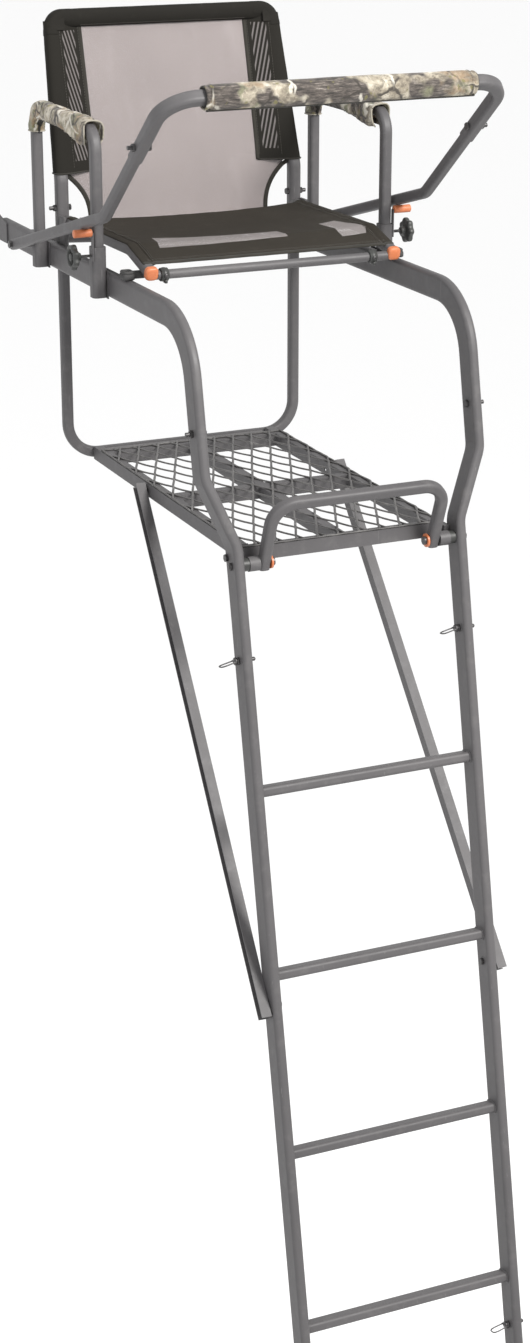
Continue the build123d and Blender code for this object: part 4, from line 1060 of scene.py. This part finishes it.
def armrest_line(share):
    """(y, z, direction y, direction z) along the pad's centre line, rear foot to front mouth."""
    bend, rear, foot, front = 42.0, 820.0, 663.0, 497.0
    rise = PAD_TOP_Z - bend - foot
    arc = bend * PI / 2
    level = rear - bend - front
    place = share * (rise + arc + level)
    if place < rise:
        return rear, foot + place, 0.0, 1.0
    if place < rise + arc:
        turn = (place - rise) / bend
        y = rear - bend + bend * math.cos(turn)
        z = PAD_TOP_Z - bend + bend * math.sin(turn)
        return y, z, -math.sin(turn), math.cos(turn)
    return rear - bend - (place - rise - arc), PAD_TOP_Z, -1.0, 0.0


def make_armrest_pad(side, side_name):
    """Padded print wrap on an armrest: closed below, open and flared at its front mouth."""
    rings, sides = 88, 34
    columns = sides + 1
    body, slot = f"armrest_{side_name}", "camo_fabric"
    verts = []
    for share in shares(rings):
        y, z, ahead_y, ahead_z = armrest_line(share)
        over_y, over_z = ahead_z, -ahead_y
        mouth = smooth_step(0.62, 0.95, share)
        foot = smooth_step(0.05, 0.0, share)
        for turn_share in shares(columns):
            turn = 2 * PI * (turn_share - 0.5)
            turn_open = turn * (1 - 0.17 * mouth)
            inner_side = (turn_open < 0) == (side > 0)
            wide = 15.3 + (2.2 + 5.5 * mouth if inner_side else 0.0)
            b, a = squared(turn_open, 0.72)
            a *= wide
            b *= 18.0
            low = smooth_step(0.50, 1.0, abs(turn) / PI)
            if abs(turn) > PI * 0.78:
                a = math.copysign(max(abs(a), 1.6 + 12.5 * mouth), turn)
            b -= 16.0 * smooth_step(0.48, 0.90, share) * (1 - 0.3 * smooth_step(0.9, 1.0, share)) * low
            place = Vector((a * 0.05, y * 0.012, b * 0.05 + side * 3.0))
            lump = 1.0 + 0.045 * noise.noise(place * 1.3) + 0.03 * noise.noise(place * 4.0)
            lump -= 0.05 * foot
            flare = 1.0 + 0.06 * mouth * smooth_step(0.9, 1.0, share)
            x = side * ARMREST_X + a * lump * flare
            x = math.copysign(min(abs(x), 323.6), x)
            droop = -3.2 * smooth_step(0.82, 1.0, share)
            verts.append(at(x, y + over_y * b * lump, z + over_z * b * lump + droop))
    pad = new_piece(
        f"pad_{side_name}", verts, rows_to_faces(rings, columns), CAMO, body,
        replaces=(f"armrest_pad_{side_name}",),
    )

    def rounded(point):
        return tuple(round(c, 6) for c in point)

    keep = set()
    for index, vert in enumerate(pad.data.vertices):
        ring, column = divmod(index, columns)
        if column in (0, 1, sides - 1, sides) or ring < 2 or ring > rings - 3:
            keep.add(rounded(vert.co))

    def pinned(point):
        return 1.0 if rounded(point) in keep else 0.0

    simulate_cloth(pad, pinned, pressure=-1.0, slack=0.04, cap=0.0020)
    outermost = 323.8 * MM
    for vert in pad.data.vertices:
        vert.co.x = math.copysign(min(abs(vert.co.x), outermost), vert.co.x)
    face_out(pad, at(side * ARMREST_X, 700.0, PAD_TOP_Z))
    thicken(pad, 0.0030, -1.0)
    subdivide(pad)
    final = [v.co.copy() for v in pad.data.vertices]
    trim = Parts()
    trim.tube(final[(rings - 1) * columns:], 0.0015, sides=8, wobble=0.15)
    trim.tube(final[:columns], 0.0014, sides=8, wobble=0.15)
    trim.piece(f"pad_trim_{side_name}", TRIM, body, slot=slot)
    strip = Parts()
    run = [(final[ring * columns] + final[ring * columns + sides]) / 2 for ring in range(1, int(rings * 0.68))]
    strip.tube(run, 0.0062, sides=10, flat=0.22)
    strip.piece(f"pad_closure_{side_name}", WEBBING, body, slot=slot)
    seams = Parts()
    middle_x = at(side * ARMREST_X, 0, 0).x
    for column in (3, sides - 3):
        run = [final[ring * columns + column] for ring in range(2, rings - 2)]
        run = [p + X_AXIS * math.copysign(0.0005, p.x - middle_x) for p in run]
        dashes(seams, run, 0.0030, 0.0018, 0.0004)
    seams.piece(f"pad_stitches_{side_name}", THREAD, body, slot=slot)


# ---------------------------------------------------------------- seat sling
def seat_line(y):
    """Height of the seat tubes' centre line at a depth."""
    level = SEAT_TUBE_Z - (y - SEAT_BEND_Y) * 4.0 / 350.0
    dipped = SEAT_TUBE_Z - (SEAT_BEND_Y - y) * SEAT_FRONT_DROP / SEAT_FRONT_RUN
    blend = smooth_step(420.0, 452.0, y)
    return dipped * (1 - blend) + level * blend


def seat_top(x, y):
    """Height of the stretched seat fabric."""
    tube_top = seat_line(y) + 11.0 / math.cos(0.1) + 0.9
    reach = abs(x)
    inner = SEAT_TUBE_X - 12.0
    if reach > inner:
        return tube_top - max(0.0, abs(reach - SEAT_TUBE_X) - 4.0) ** 2 * 0.05
    share = reach / inner
    deep = 13.0 * math.sin(PI * smooth_step(330.0, 900.0, y)) + 2.0
    sag = deep * (1 - share ** 2.4)
    tension = 0.55 * noise.noise(Vector((x * 0.035, y * 0.006, 2.0))) * (1 - share ** 6)
    pull = 0.7 * math.sin(y * 0.11 + 1.5) * share ** 9
    return tube_top - 0.6 - sag + tension + pull


def front_edge(x):
    """Depth of the seat cloth's bowed front edge."""
    return CLOTH_FRONT + 5.0 * (1 - (x / CLOTH_HALF) ** 2)


def make_seat_sling():
    """Sling stretched between the seat tubes, with a hem in front and behind."""
    columns, rows = 150, 104
    verts = []
    for row_share in shares(rows):
        for share in shares(columns):
            x = -CLOTH_HALF + 2 * CLOTH_HALF * share
            edge = front_edge(x)
            y = edge + (CLOTH_REAR - edge) * row_share
            fold = 7.0 * smooth_step(755.0, CLOTH_REAR, y) if abs(x) < SEAT_TUBE_X - 12.0 else 0.0
            verts.append(at(x, y, seat_top(x, y) - fold))
    sling = new_piece(
        "seat_cloth", verts, rows_to_faces(rows, columns), SEAT_MESH, "seat",
        replaces=("seat_sling",),
    )
    thicken(sling, 0.0013, -1.0)
    hem = Parts()
    run = []
    for share in shares(110):
        x = (CLOTH_HALF - 1.0) * (2 * share - 1)
        run.append(at(x, front_edge(x) + 1.6, seat_top(x, front_edge(x)) - 1.4))
    hem.tube(run, 0.0052, sides=12, flat=0.48, up=Vector((0, -0.27, 0.96)), wobble=0.05)
    front_hem = hem.piece("seat_front_hem", WEBBING, "seat", slot="seat_mesh")
    hem = Parts()
    run = [at(x, 768.0, seat_top(x, 768.0) - 9.0) for x in [-238.0 + 476.0 * share for share in shares(61)]]
    hem.tube(run, 0.0048, sides=12, flat=0.6, wobble=0.05)
    rear_hem = hem.piece("seat_rear_hem", WEBBING, "seat", slot="seat_mesh")
    sewing = Parts()

    def sew(places):
        dashes(sewing, [at(x, y, seat_top(x, y) + 0.5) for x, y in places], 0.0032, 0.0020, 0.00045)

    for side, _ in SIDES:
        for inset in (241.0, 237.0):
            depths = [CLOTH_FRONT + 8.0 + (CLOTH_REAR - CLOTH_FRONT - 16.0) * share for share in shares(90)]
            sew([(side * inset, y) for y in depths])
    for back in (9.0, 13.0):
        widths = [(CLOTH_HALF - 12.0) * (2 * share - 1) for share in shares(110)]
        sew([(x, front_edge(x) + back) for x in widths])
    sewn = sewing.piece("seat_stitches", THREAD, "seat", slot="seat_mesh")


# ---------------------------------------------------------------- backrest sling
def lean_share(z):
    """How far up the leaning part of the posts a height is."""
    return max(0.0, z - KINK_Z) / (TOP_Z - KINK_Z)


def post_x(z):
    return POST_X - (POST_X - TOP_X) * lean_share(z)


def post_y(z):
    return POST_Y + (TOP_Y - POST_Y) * lean_share(z)


def half_width(z):
    """Half width of the mesh panel: narrow at its foot, then out to the posts, then to the seams."""
    if z > 584.0:
        return SEAM_X + 3.0
    share = max(0.0, min(1.0, (z - 470.0) / 105.0))
    return 197.0 + 49.0 * share ** 2.6


def panel_y(x, z):
    """Depth of the mesh panel, which eases over the posts' kink and bellies out a little."""
    share = abs(x) / 190.0
    belly = 9.0 * (1 - share ** 2) * math.sin(PI * smooth_step(440.0, 900.0, z))
    ripple = 0.7 * noise.noise(Vector((x * 0.02, z * 0.004, 5.0)))
    above = z - KINK_Z
    eased = (above + math.hypot(above, 60.0)) / 2
    return POST_Y + (TOP_Y - POST_Y) * eased / (TOP_Z - KINK_Z) + 3.0 + belly + ripple


def make_top_hem():
    """Hem round the top tube, with a squared wrap and flat fans closing its two corners."""
    hem = Parts()
    rows, columns = 32, 120
    wrap_half = 222.0
    verts = []
    for row in range(rows):
        turn = -0.5 * PI + 2 * PI * row / rows
        across, upward = squared(turn, 0.7)
        flat_side = smooth_step(0.0, 1.0, -math.sin(turn))
        for share in shares(columns):
            x = -wrap_half + 2 * wrap_half * share
            over = 15.0 + 0.25 * noise.noise(Vector((x * 0.05, turn, 1.0)))
            y = TOP_Y + across * over * (1 - 0.2 * flat_side) - 1.0 * flat_side
            z = TOP_Z + upward * over - 5.0 * flat_side
            verts.append(at(x, y, z))
    hem.add(verts, rows_to_faces(rows, columns, wrap_rows=True))
    centre_x, centre_z = TOP_X - CORNER, TOP_Z - CORNER
    quarter = [PI / 2 * share for share in shares(22)]
    for side, _ in SIDES:
        run = [at(side * post_x(z), post_y(z), z) for z in [838.0 + 2.0 * k for k in range(6)]]
        for turn in quarter:
            z = centre_z + CORNER * math.sin(turn)
            run.append(at(side * (centre_x + CORNER * math.cos(turn)), post_y(z), z))
        run += [at(side * (216.0 - 4.0 * k), TOP_Y, TOP_Z) for k in range(6)]
        hem.tube(run, 0.0152, sides=32, up=Y_AXIS, power=0.7)
        for face in (-1, 1):
            fan = []
            for turn in quarter:
                for share in shares(5):
                    reach = (CORNER + 2.0) * share
                    z = centre_z + reach * math.sin(turn)
                    fan.append(at(side * (centre_x + reach * math.cos(turn)), post_y(z) + face * 15.1, z))
            hem.add(fan, rows_to_faces(len(quarter), 5))
    made = hem.piece("back_top_hem", HEM_MESH, "stand", slot="seat_mesh", outward=False)
    thicken(made, 0.0009, 0.0)
    subdivide(made)
    return made


def make_back_sling():
    """Light mesh panel, dark pockets round the posts, hems and curved bindings."""
    columns, rows = 84, 96
    verts = []
    for row_share in shares(rows):
        z = PANEL_LOW + (PANEL_HIGH - PANEL_LOW) * row_share
        for share in shares(columns):
            x = half_width(z) * (2 * share - 1)
            verts.append(at(x, panel_y(x, z), z))
    panel = new_piece(
        "back_cloth", verts, rows_to_faces(rows, columns), BACK_MESH, "stand",
        replaces=("back_sling",),
    )
    face_out(panel, at(0, 1400.0, 700.0))
    thicken(panel, 0.0008, 0.0)
    attached = [make_back_pocket(side, side_name) for side, side_name in SIDES]
    attached.append(make_top_hem())
    sewing = Parts()
    dashes(sewing, [at(184.0 * (2 * share - 1), 891.8, 858.0) for share in shares(81)], 0.0034, 0.0022, 0.00045)
    attached.append(sewing.piece("back_stitches", THREAD, "stand", slot="seat_mesh"))
    hem = Parts()
    z = PANEL_LOW + 1.0
    widths = [197.0 * (2 * share - 1) for share in shares(61)]
    hem.tube([at(x, panel_y(x, z), z) for x in widths], 0.0030, flat=0.6)
    attached.append(hem.piece("back_low_hem", WEBBING, "stand", slot="seat_mesh"))


def make_back_pocket(side, side_name):
    """Dark pocket round one post, its seams and bindings. Returns the bindings."""
    low, high = POCKET_LOW, POCKET_HIGH
    rows = 72
    wrap = 14.6
    outline = [("front", k / 12) for k in range(12)]
    outline += [("round", k / 16) for k in range(16)]
    outline += [("rear", k / 12) for k in range(13)]
    columns = len(outline)
    verts = []
    for row_share in shares(rows):
        z = low + (high - low) * row_share
        x_post, y_post = post_x(z), post_y(z)
        radius = wrap + 0.35 * noise.noise(Vector((z * 0.03, side * 2.0, 0.0)))
        for kind, share in outline:
            if kind == "front":
                x = SEAM_X + (x_post - SEAM_X) * share
                y_seam = panel_y(SEAM_X, z) - 1.6
                y = y_seam + (y_post - radius - y_seam) * smooth_step(0.0, 1.0, share)
            elif kind == "round":
                a, b = squared(PI * share, 0.7)
                x = x_post + b * radius
                y = y_post - a * radius
            else:
                x = x_post + (SEAM_X - x_post) * share
                y_seam = panel_y(SEAM_X, z) + 1.6
                y = y_post + radius + (y_seam - y_post - radius) * smooth_step(0.0, 1.0, share)
            wrinkle = 0.5 * noise.noise(Vector((x * 0.04, z * 0.018, side * 7.0)))
            verts.append(at(side * x, y + wrinkle, z))
    pocket = new_piece(
        f"back_pocket_{side_name}", verts, rows_to_faces(rows, columns), POCKET_MESH, "stand"
    )
    face_out(pocket, at(side * 255.0, 860.0, 720.0))
    subdivide(pocket)
    thicken(pocket, 0.0009, 0.0)
    trims = Parts()
    trims.tube(verts[:columns], 0.0024, sides=8, flat=0.7)
    heights = [low + (high - low) * share for share in shares(61)]
    seam = [at(side * SEAM_X, panel_y(SEAM_X, z) - 1.4, z) for z in heights]
    trims.tube(seam, 0.0044, sides=8, flat=0.30, up=Vector((0, -1, 0.2)).normalized())
    curve = []
    for share in shares(56):
        z = 577.0 - (577.0 - 457.0) * share ** 1.4
        out = max(0.0, min(1.0, (z - 470.0) / 105.0))
        x = 197.0 + 57.0 * out ** 2.6
        y = panel_y(min(x, 246.0), z) - 1.4 - 13.0 * smooth_step(236.0, 254.0, x)
        curve.append(at(side * (x - 0.5), y, z))
    trims.tube(curve, 0.0048, sides=10, flat=0.42, up=-Y_AXIS)
    binding = trims.piece(f"back_binding_{side_name}", WEBBING, "stand", slot="seat_mesh")
    sewing = Parts()
    for inset in (187.5, 231.5):
        run = []
        for z in [low + 8.0 + (high - low - 16.0) * share for share in shares(70)]:
            share = (inset - SEAM_X) / (post_x(z) - SEAM_X)
            y_seam = panel_y(SEAM_X, z) - 1.6
            y = y_seam + (post_y(z) - wrap - y_seam) * smooth_step(0.0, 1.0, share)
            run.append(at(side * inset, y - 0.9, z))
        dashes(sewing, run, 0.0034, 0.0022, 0.00045)
    sewn = sewing.piece(f"pocket_stitches_{side_name}", THREAD, "stand", slot="seat_mesh")
    return binding


# ---------------------------------------------------------------- build
make_camera()
make_studio()
paint_nodes()
make_grate()
make_welds()
for side_sign, side_word in SIDES:
    make_knob(side_sign, side_word)
    make_armrest_pad(side_sign, side_word)
    for pin_number in range(1, SECTIONS + 1):
        make_snap_pin(pin_number, side_sign, side_word)
make_pegs()
make_end_caps()
make_rests()
make_clamps()
make_rail_sleeve()
make_seat_sling()
make_back_sling()
